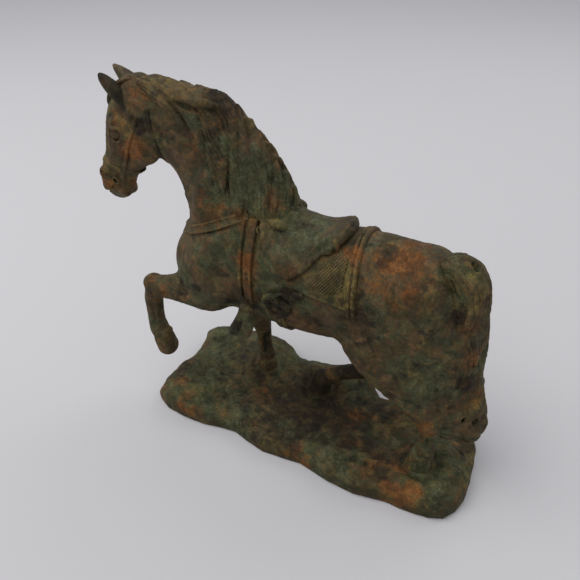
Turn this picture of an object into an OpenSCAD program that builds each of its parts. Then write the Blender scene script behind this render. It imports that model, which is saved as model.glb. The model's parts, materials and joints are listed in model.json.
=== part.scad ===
// Rearing parade horse on a rocky ground plate, cast bronze figurine.
// +Z up, the horse faces -X, its left side is -Y. The origin is the middle of
// the plan outline on the resting face of the ground plate.

/* [Figure] */
// thickness of the mane wall laid over the crest of the neck
mane_t = 4; // [2:0.5:6]
// height the saddle stands off the barrel
saddle_t = 3.6; // [2.5:0.1:5]
// height the saddle blanket stands off the barrel
blanket_t = 1.8; // [1:0.1:2.4]
// height the rolled binding of the blanket stands off the barrel
binding_t = 3; // [2.2:0.1:4]
// height the straps stand off the body
strap_t = 1.6; // [0.8:0.1:2.2]

/* [Tack] */
// width of the breast collar
collar_w = 5; // [3:0.5:8]
// width of the girth
girth_w = 7; // [4:0.5:10]
// width of each stirrup leather
leather_w = 4.5; // [3:0.5:7]
// overall height of each stirrup
stirrup_h = 20; // [14:1:24]
// diameter of the cinch ring boss on each flank
boss_d = 16; // [10:1:20]

/* [Ground plate] */
// wall thickness of the hollow ground plate
plate_wall = 4; // [3:0.5:6]
// depth of the hollow under the ground plate
hollow_depth = 6; // [4:0.5:7]

/* [Fixings] */
// diameter of the threaded stud in each planted hoof
stud_d = 4; // [3:0.5:5]
// clearance hole for a stud through the ground plate
stud_hole = 4.5; // [3.5:0.1:6]
// width across flats of each nut
nut_af = 7; // [6:0.1:8]
// outside diameter of each washer
washer_d = 9; // [7:0.5:10]

/* [Hidden] */

// shift that brings the modelling axes to the origin on the resting face
origin_shift = [18.65, -3, 0];
// height of the planted studs above the resting face
stud_z0 = 0.6;
stud_z1 = 24;
// planted hooves: left hind, right fore, right hind
hoof_at = [[72, -17], [-41.5, 17], [-2.5, 16.5]];

bronze = [0.36, 0.31, 0.20];
bronze_dark = [0.26, 0.23, 0.17];
bronze_rust = [0.47, 0.32, 0.18];
verdigris = [0.33, 0.37, 0.25];

// ---- station tables ----
// each row: top or front point, bottom or rear point, half width across
torso_rows = [
    [-83, 0, 106, -83, 0, 88, 8], [-79, 0, 116, -79, 0, 83, 14], [-70, 0, 126, -70, 0, 80, 18.5],
    [-58, 0, 134, -58, 0, 78, 21.5], [-45, 0, 139, -45, 0, 77, 22.5], [-30, 0, 141, -30, 0, 76, 23],
    [-15, 0, 138.5, -15, 0, 75.5, 24], [0, 0, 136.5, 0, 0, 76, 24.5], [15, 0, 138, 15, 0, 78, 24.5],
    [28, 0, 141, 28, 0, 82, 23.5], [40, 0, 141, 40, 0, 83, 23.5], [51, 0, 139, 51, 0, 81, 22.5],
    [61, 0, 133.5, 61, 0, 80, 19.5], [69, 0, 124, 69, 0, 84, 13], [73, 0, 114, 73, 0, 91, 7]];
neck_rows = [
    [-72, 0, 104, -14, 0, 128, 19], [-74, 0, 114, -15, 0, 137, 18.5], [-75, 0, 125, -19, 0, 146, 16],
    [-76.5, 0, 136, -25, 0, 157, 13.5], [-79, 0, 146, -34, 0, 170, 11.5], [-82, 0, 152, -46, 0, 181, 10.5],
    [-86, 0, 156, -58, 0, 188.5, 9.6], [-91, 0, 159, -70, 0, 192, 9], [-98, 0, 162, -84, 0, 194, 8.6],
    [-106, 0, 168, -97, 0, 194.5, 8]];
head_rows = [
    [-104, 0, 197.5, -94, 0, 193, 5.5], [-112, 0, 194, -86, 0, 180, 8.5], [-119, 0, 186, -88.5, 0, 168, 9.3],
    [-123.3, 0, 178, -92, 0, 160, 9.8], [-126, 0, 168.5, -99, 0, 153.5, 9.6], [-129, 0, 158, -107, 0, 148, 7.8],
    [-133, 0, 150.5, -112, 0, 143, 6.6], [-136, 0, 143, -115, 0, 136.5, 6.6], [-137.5, 0, 137, -117, 0, 131.5, 6.4],
    [-134.5, 0, 131, -121, 0, 128.5, 5]];
left_fore_rows = [
    [-72, -9, 112, -44, -9, 112, 12], [-76, -12, 100, -45, -12, 90, 12], [-77, -14, 94.5, -52, -14, 81, 9.5],
    [-84, -15.5, 94, -68, -15.5, 79, 7.3], [-91.5, -16.5, 92.5, -80, -16.5, 79.5, 6.5], [-99, -17, 89.5, -87.5, -17, 79.5, 6.3],
    [-104, -17, 83, -91.5, -17, 78.5, 6.2], [-105, -17, 75, -94, -17, 74, 5.6], [-105.3, -17, 66, -95, -17, 66, 5.2],
    [-105.5, -17, 57, -95.2, -17, 57, 5.2], [-105.2, -17, 50, -93.5, -17, 50.5, 5.9], [-103, -17, 44, -92, -17, 47.5, 5.4],
    [-103, -17, 41.5, -90.5, -17, 45, 6.4], [-100, -17, 34, -89.8, -17, 41.4, 6.9]];
right_fore_rows = [
    [-72, 9, 116, -46, 9, 116, 12], [-68, 11, 100, -40, 11, 100, 12], [-60, 13, 84, -35.5, 13, 84, 9.5],
    [-54.5, 15, 72, -37.5, 15, 72, 7.5], [-53, 16.5, 60, -38.5, 16.5, 60, 6.3], [-51.5, 17, 50.5, -38.8, 17, 50.5, 6],
    [-48.7, 17, 42, -38.6, 17, 42, 4.7], [-47, 17, 32, -38, 17, 32, 4.3], [-47, 17, 25, -36.8, 17, 25, 5],
    [-46.5, 17, 20.5, -37.5, 17, 20, 4.6], [-47.8, 17, 17.5, -35.5, 17, 16.5, 6], [-49, 17, 8, -33.8, 17, 8, 7.2]];
left_hind_rows = [
    [26, -8, 112, 70, -8, 112, 14], [19.5, -11, 98, 70, -11, 98, 12.5], [18.5, -13, 86, 70.5, -13, 88, 11],
    [28.5, -15, 73, 72, -15, 78, 9.5], [43.5, -16, 62.5, 73.5, -16, 70, 8], [55, -16.5, 55, 75, -16.5, 61.5, 6.4],
    [63, -17, 49.5, 78, -17, 54, 6], [67, -17, 45, 78.8, -17, 47.5, 5.8], [68, -17, 39.5, 77.7, -17, 40.5, 4.8],
    [68.6, -17, 33, 77.2, -17, 33, 4.3], [68, -17, 28.5, 78, -17, 29, 5], [67.5, -17, 25, 77, -17, 26, 4.6],
    [66, -17, 22, 78.8, -17, 22.5, 6], [63.5, -17, 11, 79.5, -17, 11, 7.4]];
right_hind_rows = [
    [27, 8, 112, 68, 8, 112, 14], [25, 11, 98, 66, 11, 98, 12.5], [23, 13.5, 85, 60, 13.5, 82, 10.5],
    [27, 15, 72, 55, 15, 69, 8.5], [32, 16, 60, 51, 16, 56, 6.8], [36, 16.5, 53, 50, 16.5, 46, 6.2],
    [32, 16.5, 45.5, 40, 16.5, 37, 5], [20, 16.5, 39.5, 25, 16.5, 31, 4.6], [9, 16.5, 33, 14, 16.5, 25, 4.9],
    [1.8, 16.5, 28.5, 10, 16.5, 20.5, 5], [-3, 16.5, 24, 6, 16.5, 17, 4.8], [-6.3, 16.5, 20.5, 5, 16.5, 14.5, 6],
    [-10, 16.5, 9, 4.5, 16.5, 7, 7.2]];
tail_rows = [
    [62.5, 0, 138.5, 62, 0, 127, 6], [67, 0, 141, 65, 0, 125, 8], [72, 0, 141.2, 67, 0, 121, 10],
    [78, 0, 138.5, 68, 0, 116, 11], [82, 0, 131, 68.5, 0, 110, 11.5], [84, 0, 121, 69, 0, 104, 12],
    [87, 0, 108, 68.5, 0, 97, 12.5], [88.7, 0, 92, 67.5, 0, 87, 13], [89.2, 0, 79, 68, 0, 76, 13.5],
    [93, 0, 67, 70, 0, 64, 13.5], [97, 0, 56, 73.5, 0, 52, 13], [99.5, 0, 46, 78, 0, 41, 12],
    [98.5, 0, 37, 83.5, 0, 34, 8.5], [94.5, 0, 31, 88, 0, 30.5, 4.5]];
mane_rows = [
    [-97, 2, 199, -97, -6, 194], [-84, 2.5, 200, -82, -8.5, 191], [-70, 2.5, 199, -69, -9.5, 187],
    [-57, 2.5, 197.5, -60, -10, 182], [-48, 2.5, 193, -54, -10.5, 174], [-40, 2.5, 185.5, -48, -11.5, 165],
    [-31, 2.5, 177.5, -42, -12.5, 156], [-23.5, 2.5, 168, -36, -13.5, 149], [-17.5, 2.5, 157, -30, -13, 144],
    [-14, 1.5, 147.5, -22, -10, 140.5]];
forelock_rows = [
    [-99, 0, 200.6, -98, 0, 194.5, 3.5], [-106, 0, 199.6, -104, 0, 193.5, 4], [-113, 0, 196, -110, 0, 190.5, 3.6],
    [-118.5, 0, 190.5, -115.5, 0, 186.5, 2.8], [-121.5, 0, 185, -118.5, 0, 182.5, 1.6]];
// edge of the ground plate, going round once
plate_edge = [
    [-97, -8], [-99, -20], [-96, -31], [-87, -35.5], [-75, -37], [-60, -37], [-48, -34.5], [-38, -33.5], [-28, -36.5],
    [-16, -39], [-3, -38], [8, -37], [18, -39], [28, -41], [43, -42], [52, -40.5], [61, -39], [69, -39.5],
    [77, -39], [85, -38], [92, -35], [97, -28], [99.5, -20], [100, -8], [99.5, 4], [98, 16], [94, 27], [88, 34],
    [78, 37.5], [66, 36], [55, 34.5], [45, 34], [35, 36], [26, 42], [18, 46.5], [8, 46], [-2, 41.5], [-12, 40],
    [-20, 38.5], [-27, 39], [-35, 44], [-43, 47], [-54, 48], [-68, 47.5], [-79, 45.5], [-88, 43], [-95, 38], [-98, 29],
    [-95, 20], [-93.5, 12], [-94, 2]];

// ---- shared shape tools ----
function cr(a, b, c, d, t) = 0.5 * ((2 * b) + (c - a) * t + (2 * a - 5 * b + 4 * c - d) * t * t
                                    + (3 * b - a - 3 * c + d) * t * t * t);
function smooth_rows(r, n) = let(m = len(r)) [
    for (i = [0 : m - 2]) for (k = [0 : n - 1])
        cr(i == 0 ? 2 * r[0] - r[1] : r[i - 1], r[i], r[i + 1], i == m - 2 ? 2 * r[m - 1] - r[m - 2] : r[i + 2], k / n),
    r[m - 1]];
function sgnpow(v, e) = v < 0 ? -pow(-v, e) : pow(v, e);
function mid(q) = [(q[0] + q[3]) / 2, (q[1] + q[4]) / 2, (q[2] + q[5]) / 2];
function arm(q) = [(q[0] - q[3]) / 2, (q[1] - q[4]) / 2, (q[2] - q[5]) / 2];
function unit(v) = v / norm(v);
// one closed section of a body, grown by o, with m corners and squareness e
function section(P, i, m, e, o) = let(
    n = len(P), t = mid(P[min(i + 1, n - 1)]) - mid(P[max(i - 1, 0)]),
    a = arm(P[i]), b = unit(cross(a, t)), ua = unit(a), c = mid(P[i]))
    [for (j = [0 : m - 1]) let(g = 360 * j / m)
        c + ua * (norm(a) + o) * sgnpow(sin(g), e) + b * (P[i][6] + o) * sgnpow(cos(g), e)];
// skin closed over a stack of sections
module skin(S) {
    n = len(S);
    m = len(S[0]);
    polyhedron(
        points = [for (s = S) each s],
        faces = concat(
            [[for (j = [0 : m - 1]) j]],
            [for (i = [0 : n - 2]) for (j = [0 : m - 1]) each [
                [i * m + j, (i + 1) * m + j, (i + 1) * m + (j + 1) % m],
                [i * m + j, (i + 1) * m + (j + 1) % m, i * m + (j + 1) % m]]],
            [[for (j = [m - 1 : -1 : 0]) (n - 1) * m + j]]));
}
module body(rows, sub = 2, m = 20, e = 0.9, o = 0) {
    P = smooth_rows(rows, sub);
    skin([for (i = [0 : len(P) - 1]) section(P, i, m, e, o)]);
}
module shifted() { translate(origin_shift) children(); }

module torso_form(o = 0, m = 24) { body(torso_rows, 2, m, 0.88, o); }
module neck_form(o = 0, m = 22) { body(neck_rows, 2, m, 0.95, o); }
module head_form(o = 0, m = 20) { body(head_rows, 2, m, 0.92, o); }
// the limbs without any cut
module left_fore_form() { body(left_fore_rows, 2, 16); }
module right_fore_form() { body(right_fore_rows, 2, 16); }
module left_hind_form() { body(left_hind_rows, 2, 16); }
module right_hind_form() { body(right_hind_rows, 2, 16); }

// smooth rolling ground height at a point of the plate
function bump(x, y, cx, cy, r, h) = h * exp(-((x - cx) * (x - cx) + (y - cy) * (y - cy)) / (r * r));
function ground(x, y) = 11
    + bump(x, y, 72, -17, 16, 3.4) + bump(x, y, 90, -10, 14, 3) + bump(x, y, -42, 19, 17, 1.6)
    + bump(x, y, -3, 16, 12, 0.6) + bump(x, y, -50, 38, 14, 3.2) + bump(x, y, 16, 36, 14, 3.4)
    + bump(x, y, -84, 30, 12, 2.6) + bump(x, y, 60, 22, 18, 2.4) + bump(x, y, 30, -28, 14, 1.4)
    + bump(x, y, -70, -18, 18, 1.6) - bump(x, y, 20, 0, 22, 1.2)
    + 0.7 * sin(x * 7 + y * 3) + 0.6 * sin(x * 3 - y * 9);
plate_mid = [2, 3];
// plate sections from the resting face up over the rim to the middle
plate_rise = [[0.96, 0], [1, 1.6], [1.002, 5], [0.985, 8.2], [0.95, 9.9]];
function edge_at(s, z) = [for (p = plate_edge) [plate_mid[0] + (p[0] - plate_mid[0]) * s, plate_mid[1] + (p[1] - plate_mid[1]) * s, z]];
function top_at(s) = [for (p = plate_edge) let(x = plate_mid[0] + (p[0] - plate_mid[0]) * s, y = plate_mid[1] + (p[1] - plate_mid[1]) * s)
    [x, y, ground(x, y)]];
module plate_form() {
    skin(concat([for (r = plate_rise) edge_at(r[0], r[1])],
                [for (s = [0.88, 0.78, 0.67, 0.55, 0.43, 0.31, 0.19, 0.08]) top_at(s)]));
}

// ---- sub-parts ----
module ground_plate() color(verdigris) shifted() difference() {
    plate_form();
    difference() {
        translate([0, 0, -1]) linear_extrude(hollow_depth + 1) offset(delta = -plate_wall - 3)
            polygon([for (p = plate_edge) p]);
        for (h = hoof_at) translate([h[0], h[1], 5]) cylinder(h = 4, d = 12, $fn = 32);
    }
    for (h = hoof_at) translate([h[0], h[1], -1]) cylinder(h = 40, d = stud_hole, $fn = 32);
}

module torso() color(bronze) shifted() torso_form();

module neck() color(bronze) shifted() difference() {
    neck_form();
    torso_form();
}

module head() color(bronze) shifted() difference() {
    head_form();
    neck_form();
}

module ear(side) {
    // blunt ear; the right one is carried further forward
    rows = side < 0
        ? [[-102.5, -4.8, 190, -108.5, -4.8, 184, 3.6], [-105.6, -5.8, 193.2, -111.8, -5.8, 187.6, 4],
           [-109.5, -6.6, 196.2, -114.8, -6.6, 191.4, 3.8], [-113.2, -7.2, 198.7, -117.2, -7.2, 195.2, 2.8],
           [-115.8, -7.6, 199.9, -118, -7.6, 198, 1.4]]
        : [[-101, 5, 193.5, -108, 5, 186.5, 3.8], [-106.5, 6, 196.6, -112, 6, 189.6, 4.2],
           [-112, 6.8, 198.6, -115.8, 6.8, 192.6, 3.8], [-117, 7.4, 200, -119, 7.4, 196.2, 2.8],
           [-120.4, 7.8, 200.6, -121.4, 7.8, 198.8, 1.3]];
    body(rows, 2, 12);
}
module left_ear() color(bronze_dark) shifted() difference() { ear(-1); head_form(); neck_form(); }
module right_ear() color(bronze_dark) shifted() difference() { ear(1); head_form(); neck_form(); }

module mane_form() {
    P = smooth_rows([for (r = mane_rows) concat(r, [mane_t])], 2);
    skin([for (i = [0 : len(P) - 1]) section(P, i, 16, 0.9, 0)]);
}
module mane() color(bronze_rust) shifted() difference() {
    mane_form();
    neck_form();
    torso_form();
    head_form();
}
module forelock() color(bronze_rust) shifted() difference() {
    body(forelock_rows, 2, 12);
    head_form();
    neck_form();
    mane_form();
    ear(-1);
    ear(1);
}
module tail() color(bronze_rust) shifted() difference() {
    body(tail_rows, 2, 20);
    torso_form();
    left_hind_form();
    right_hind_form();
}

module left_foreleg() color(bronze) shifted() difference() {
    left_fore_form();
    torso_form();
    neck_form();
}
module planted_stud_hole(k) {
    translate([hoof_at[k][0], hoof_at[k][1], 0]) cylinder(h = stud_z1, r = stud_d / 2 + 0.05, $fn = 32);
}
module right_foreleg() color(bronze) shifted() difference() {
    right_fore_form();
    torso_form();
    neck_form();
    plate_form();
    planted_stud_hole(1);
}
module left_hind_leg() color(bronze) shifted() difference() {
    left_hind_form();
    torso_form();
    plate_form();
    planted_stud_hole(0);
}
module right_hind_leg() color(bronze) shifted() difference() {
    right_hind_form();
    torso_form();
    left_hind_form();
    plate_form();
    planted_stud_hole(2);
}

// side outline of the saddle: seat, cantle and flap
module saddle_outline() {
    polygon([[-24.5, 136], [-20, 125], [-15, 121], [-6, 119.5], [1.5, 125], [6, 131], [10.5, 135.5], [14, 138.5],
             [18, 141], [18, 152], [-25, 152], [-26, 141]]);
}
module side_slab(w) { rotate([90, 0, 0]) linear_extrude(2 * w, center = true) children(); }
module saddle_shell() {
    intersection() {
        torso_form(saddle_t);
        side_slab(40) saddle_outline();
    }
    // cantle, the raised roll behind the seat
    body([[14.5, -13, 138, 10, -13, 133, 2.2], [16.5, -8, 145, 12, -8, 135, 2.4], [17, 0, 147.4, 12, 0, 136, 2.5],
          [16.5, 8, 145, 12, 8, 135, 2.4], [14.5, 13, 138, 10, 13, 133, 2.2]], 3, 14);
    // pommel, the small roll in front of the seat
    body([[-23, -12, 142.5, -23, -12, 136, 2.4], [-21, -6, 146, -21, -6, 138, 2.8], [-20, 0, 147, -20, 0, 139, 3],
          [-21, 6, 146, -21, 6, 138, 2.8], [-23, 12, 142.5, -23, 12, 136, 2.4]], 3, 14);
}
module saddle() color(bronze_dark) shifted() difference() {
    saddle_shell();
    torso_form(blanket_t);
    neck_form();
    mane_form();
}
module blanket_outline() {
    polygon([[-26, 150], [-26, 121], [-21, 117], [-6, 115.5], [6, 114.5], [25, 112.5], [21.6, 150]]);
}
module saddle_blanket() color(verdigris) shifted() difference() {
    intersection() {
        torso_form(blanket_t);
        side_slab(40) blanket_outline();
    }
    torso_form();
    neck_form();
    mane_form();
    binding_keep();
}
module binding_keep() {
    translate([25, 0, 127.5]) rotate([0, -6, 0]) cube([4, 80, 38], center = true);
}
module blanket_binding() color(bronze_rust) shifted() difference() {
    intersection() {
        torso_form(binding_t);
        binding_keep();
    }
    torso_form();
}
module collar_band() {
    intersection() {
        union() {
            torso_form(strap_t);
            neck_form(strap_t);
        }
        translate([-55.5, 0, 133.8]) rotate([0, -25, 0]) cube([50, 80, collar_w], center = true);
    }
}
module breast_collar() color(bronze_rust) shifted() difference() {
    collar_band();
    torso_form();
    neck_form();
    mane_form();
}
module girth() color(bronze_dark) shifted() difference() {
    intersection() {
        torso_form(strap_t);
        translate([-12, 0, 90]) cube([girth_w, 80, 43], center = true);
    }
    torso_form();
    boss_form(-1);
    boss_form(1);
}
module boss_form(side) {
    // dished cinch ring on the flank
    translate([-12, side * 24.2, 104]) rotate([side * -97, 0, 0]) {
        cylinder(h = 3.6, d = boss_d, $fn = 32);
    }
}
module girth_boss(side) {
    difference() {
        boss_form(side);
        torso_form();
        translate([-12, side * 24.2, 104]) rotate([side * -97, 0, 0]) translate([0, 0, 2.4]) cylinder(h = 4, d = boss_d - 5, $fn = 32);
    }
}
module left_girth_boss() color(verdigris) shifted() girth_boss(-1);
module right_girth_boss() color(verdigris) shifted() girth_boss(1);

module leather_outline() {
    polygon([[-32, 142], [-27.5, 142], [-27.2, 120], [-26.5, 97], [-31, 97], [-31.7, 120]]);
}
module leather(side) {
    difference() {
        intersection() {
            union() {
                torso_form(strap_t + 0.6);
                neck_form(strap_t + 0.6);
            }
            side_slab(40) leather_outline();
            translate([-60, side > 0 ? 4 : -44, 60]) cube([60, 40, 100]);
        }
        torso_form();
        neck_form();
        mane_form();
    }
}
module left_stirrup_leather() color(bronze_rust) shifted() leather(-1);
module right_stirrup_leather() color(bronze_rust) shifted() leather(1);

module stirrup(side) {
    // wide closed-arch stirrup hanging clear of the belly
    difference() {
        skin([for (k = [0 : 10]) let(t = k / 10, x = -27.4 - 5.4 * t * t, hx = 4.6 + 1.2 * sin(90 * t), hy = 2 + 1.6 * sin(111 * t))
            [for (j = [0 : 15]) let(g = 22.5 * j)
                [x + hx * sgnpow(sin(g), 0.8), side * (28.8 - 0.6 * t) + hy * sgnpow(cos(g), 0.8), 98 - stirrup_h * t]]]);
        torso_form();
        leather_keep();
    }
}
module leather_keep() {
    intersection() {
        torso_form(strap_t + 0.7);
        side_slab(40) leather_outline();
    }
}
module left_stirrup() color(bronze_dark) shifted() stirrup(-1);
module right_stirrup() color(bronze_dark) shifted() stirrup(1);

module throatlatch() color(bronze_dark) shifted() difference() {
    // strap behind the cheeks and under the throat
    intersection() {
        union() {
            head_form(1);
            neck_form(1);
        }
        translate([-89, 0, 170]) rotate([0, 84, 0]) cube([32, 60, 2.6], center = true);
    }
    head_form();
    neck_form();
}
module cheek_strap(side) {
    difference() {
        intersection() {
            union() {
                head_form(1);
                neck_form(1);
            }
            translate([-108, 0, 160.5]) rotate([0, 29, 0]) cube([2.4, 60, 43], center = true);
            translate([-160, side > 0 ? 3 : -33, 100]) cube([80, 30, 120]);
        }
        head_form();
        neck_form();
    }
}
module left_cheek_strap() color(bronze_dark) shifted() cheek_strap(-1);
module right_cheek_strap() color(bronze_dark) shifted() cheek_strap(1);
module noseband() color(bronze_dark) shifted() difference() {
    intersection() {
        head_form(1);
        translate([-120, 0, 149.2]) rotate([0, 10, 0]) cube([60, 60, 2.6], center = true);
    }
    head_form();
}

// fixings under the planted hooves
module hoof_studs() color(bronze_rust) shifted() for (h = hoof_at)
    translate([h[0], h[1], stud_z0]) cylinder(h = stud_z1 - stud_z0 - 0.2, d = stud_d, $fn = 32);
module washers() color(bronze_rust) shifted() for (h = hoof_at) translate([h[0], h[1], 4.2]) difference() {
    cylinder(h = 0.8, d = washer_d, $fn = 32);
    translate([0, 0, -1]) cylinder(h = 3, d = stud_d + 0.3, $fn = 32);
}
module nuts() color(bronze_rust) shifted() for (h = hoof_at) translate([h[0], h[1], 1]) difference() {
    cylinder(h = 3.2, d = nut_af / cos(30), $fn = 6);
    translate([0, 0, -1]) cylinder(h = 6, d = stud_d + 0.1, $fn = 32);
}

ground_plate();
torso();
neck();
head();
left_ear();
right_ear();
mane();
forelock();
tail();
left_foreleg();
right_foreleg();
left_hind_leg();
right_hind_leg();
saddle();
saddle_blanket();
blanket_binding();
breast_collar();
girth();
left_stirrup_leather();
right_stirrup_leather();
left_stirrup();
right_stirrup();
left_girth_boss();
right_girth_boss();
throatlatch();
left_cheek_strap();
right_cheek_strap();
noseband();
hoof_studs();
washers();
nuts();
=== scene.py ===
import bpy
import json
import math
import numpy as np
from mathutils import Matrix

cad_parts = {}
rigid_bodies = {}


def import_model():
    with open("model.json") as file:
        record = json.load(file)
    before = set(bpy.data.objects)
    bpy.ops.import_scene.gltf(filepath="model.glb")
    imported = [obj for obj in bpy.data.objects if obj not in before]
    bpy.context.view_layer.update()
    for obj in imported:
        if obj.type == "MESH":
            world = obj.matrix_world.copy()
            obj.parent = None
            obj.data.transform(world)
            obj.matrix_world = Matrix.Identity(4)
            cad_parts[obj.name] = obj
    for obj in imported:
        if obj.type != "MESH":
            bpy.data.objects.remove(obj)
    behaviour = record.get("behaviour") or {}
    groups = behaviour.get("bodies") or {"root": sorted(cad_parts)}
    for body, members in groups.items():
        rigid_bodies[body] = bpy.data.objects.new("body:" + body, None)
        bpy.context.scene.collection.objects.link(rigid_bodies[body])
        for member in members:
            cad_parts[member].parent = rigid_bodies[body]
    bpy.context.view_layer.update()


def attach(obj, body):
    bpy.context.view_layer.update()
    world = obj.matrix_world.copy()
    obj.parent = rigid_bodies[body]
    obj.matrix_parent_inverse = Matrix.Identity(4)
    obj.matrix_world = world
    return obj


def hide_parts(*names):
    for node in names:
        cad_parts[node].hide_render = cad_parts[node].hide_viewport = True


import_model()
OFF = np.array([18.65, -3.0, 0.0])  # modelling axes to row axes, mm
K = 1.0


# ------------------------------------------------------------------ implicit shape tools
def catmull(rows, n):
    R = np.array(rows, float)
    m = len(R)
    out = []
    for i in range(m - 1):
        p1, p2 = R[i], R[i + 1]
        p0 = R[i - 1] if i else 2 * p1 - p2
        p3 = R[i + 2] if i < m - 2 else 2 * p2 - p1
        for k in range(n):
            t = k / n
            out.append(0.5 * (2 * p1 + (p2 - p0) * t + (2 * p0 - 5 * p1 + 4 * p2 - p3) * t * t + (3 * p1 - p0 - 3 * p2 + p3) * t ** 3))
    out.append(R[-1])
    return np.array(out)


def smin(a, b, k):
    h = np.maximum(k - np.abs(a - b), 0) / k
    return np.minimum(a, b) - h * h * (k * 0.25)


def smax(a, b, k):
    h = np.maximum(k - np.abs(a - b), 0) / k
    return np.maximum(a, b) + h * h * (k * 0.25)


class Grid:
    def __init__(s, lo, hi, h, fill=9.0):
        s.lo = np.array(lo, float)
        s.h = h
        s.n = np.ceil((np.array(hi, float) - s.lo) / h).astype(int) + 1
        s.f = np.full(s.n, fill, np.float32)

    def sub(s, lo, hi):
        a = np.clip(np.floor((np.array(lo) - s.lo) / s.h).astype(int), 0, s.n)
        b = np.clip(np.ceil((np.array(hi) - s.lo) / s.h).astype(int) + 1, 0, s.n)
        if (b <= a).any():
            return None
        ax = [(s.lo[i] + s.h * np.arange(a[i], b[i])).astype(np.float32) for i in range(3)]
        return (tuple(slice(a[i], b[i]) for i in range(3)), ax[0][:, None, None], ax[1][None, :, None], ax[2][None, None, :])

    def all(s):
        return s.sub(s.lo, s.lo + s.h * (s.n - 1))

    def copy(s):
        c = Grid.__new__(Grid)
        c.lo, c.h, c.n, c.f = s.lo, s.h, s.n, s.f.copy()
        return c


def sweep(g, rows, k=4.0, sub=3, ridge=0, amp=0.0, phase=0.0, grow=0.0, marg=None):
    """adds a rib sweep: rows of top point, bottom point, half width"""
    P = catmull(rows, sub)
    c = (P[:, :3] + P[:, 3:6]) / 2
    a = (P[:, :3] - P[:, 3:6]) / 2
    ra = np.linalg.norm(a, axis=1)
    ah = a / ra[:, None]
    ra = ra + grow
    w = P[:, 6] + grow
    T = np.gradient(c, axis=0)
    T /= np.linalg.norm(T, axis=1)[:, None]
    bh = np.cross(ah, T)
    bh /= np.linalg.norm(bh, axis=1)[:, None]
    nn = np.cross(bh, ah)
    nn *= np.sign((nn * T).sum(1))[:, None]
    m = k + 2.0 if marg is None else marg
    for i in range(len(P) - 1):
        r = max(ra[i], ra[i + 1], w[i], w[i + 1]) + m
        q = g.sub(np.minimum(c[i], c[i + 1]) - r, np.maximum(c[i], c[i + 1]) + r)
        if q is None:
            continue
        sl, X, Y, Z = q
        s0 = (X - c[i, 0]) * nn[i, 0] + (Y - c[i, 1]) * nn[i, 1] + (Z - c[i, 2]) * nn[i, 2]
        s1 = (X - c[i + 1, 0]) * nn[i + 1, 0] + (Y - c[i + 1, 1]) * nn[i + 1, 1] + (Z - c[i + 1, 2]) * nn[i + 1, 2]
        t = np.clip(s0 / np.maximum(s0 - s1, 1e-3), 0, 1)
        dx = X - c[i, 0] - t * (c[i + 1, 0] - c[i, 0])
        dy = Y - c[i, 1] - t * (c[i + 1, 1] - c[i, 1])
        dz = Z - c[i, 2] - t * (c[i + 1, 2] - c[i, 2])
        A = ah[i] + ah[i + 1]
        A /= np.linalg.norm(A)
        B = bh[i] + bh[i + 1]
        B -= A * (A @ B)
        B /= np.linalg.norm(B)
        N = np.cross(A, B)
        na = dx * A[0] + dy * A[1] + dz * A[2]
        nb = dx * B[0] + dy * B[1] + dz * B[2]
        nl = dx * N[0] + dy * N[1] + dz * N[2]
        RA = ra[i] + (ra[i + 1] - ra[i]) * t
        RW = w[i] + (w[i + 1] - w[i]) * t
        if ridge:
            sc = 1 + amp * np.cos(ridge * np.arctan2(na / RA, nb / RW) + phase)
            RA = RA * sc
            RW = RW * sc
        rm = np.minimum(RA, RW)
        # the length left over along the path only counts past the ends
        qn = np.sqrt((na / RA) ** 2 + (nb / RW) ** 2 + np.where((t <= 0) | (t >= 1), (nl / rm) ** 2, 0)) + 1e-5
        L = np.sqrt(na * na + nb * nb + np.where((t <= 0) | (t >= 1), nl * nl, 0)) + 1e-5
        d = np.maximum(L * (1 - 1 / qn), -rm).astype(np.float32)
        g.f[sl] = np.minimum(g.f[sl], d) if k <= 0 else smin(g.f[sl], d, k)


def sweep_into(g, rows, k, **kw):
    """one whole sweep blended once into the field, so its own segments don't swell"""
    P = np.array(rows, float)
    r = max(np.linalg.norm(P[:, :3] - P[:, 3:6], axis=1).max() / 2, P[:, 6].max()) + k + 3
    lo = np.minimum(P[:, :3], P[:, 3:6]).min(0) - r
    hi = np.maximum(P[:, :3], P[:, 3:6]).max(0) + r
    q = g.sub(lo, hi)
    if q is None:
        return
    sl = q[0]
    t = Grid.__new__(Grid)
    a = np.array([s.start for s in sl])
    t.lo, t.h = g.lo + g.h * a, g.h
    t.n = np.array([s.stop - s.start for s in sl])
    t.f = np.full(t.n, 9.0, np.float32)
    sweep(t, rows, k=0, marg=k + 2.5, **kw)
    g.f[sl] = smin(g.f[sl], t.f, k) if k > 0 else np.minimum(g.f[sl], t.f)


def ell_field(g, c, r, R=None, marg=5.0):
    c, r = np.array(c, float), np.array(r, float)
    q = g.sub(c - r.max() - marg, c + r.max() + marg)
    if q is None:
        return None
    sl, X, Y, Z = q
    R = np.eye(3) if R is None else R
    dx, dy, dz = X - c[0], Y - c[1], Z - c[2]
    a = [(dx * R[i, 0] + dy * R[i, 1] + dz * R[i, 2]) / r[i] for i in range(3)]
    k0 = np.sqrt(a[0] ** 2 + a[1] ** 2 + a[2] ** 2) + 1e-5
    k1 = np.sqrt((a[0] / r[0]) ** 2 + (a[1] / r[1]) ** 2 + (a[2] / r[2]) ** 2) + 1e-5
    return sl, (k0 * (k0 - 1) / k1).astype(np.float32)


def add_ell(g, c, r, k=3.0, R=None):
    q = ell_field(g, c, r, R, k + 2)
    if q is not None:
        g.f[q[0]] = smin(g.f[q[0]], q[1], k)


def cut_ell(g, c, r, k=1.0, R=None):
    q = ell_field(g, c, r, R, k + 2)
    if q is not None:
        g.f[q[0]] = smax(g.f[q[0]], -q[1], k)


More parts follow.
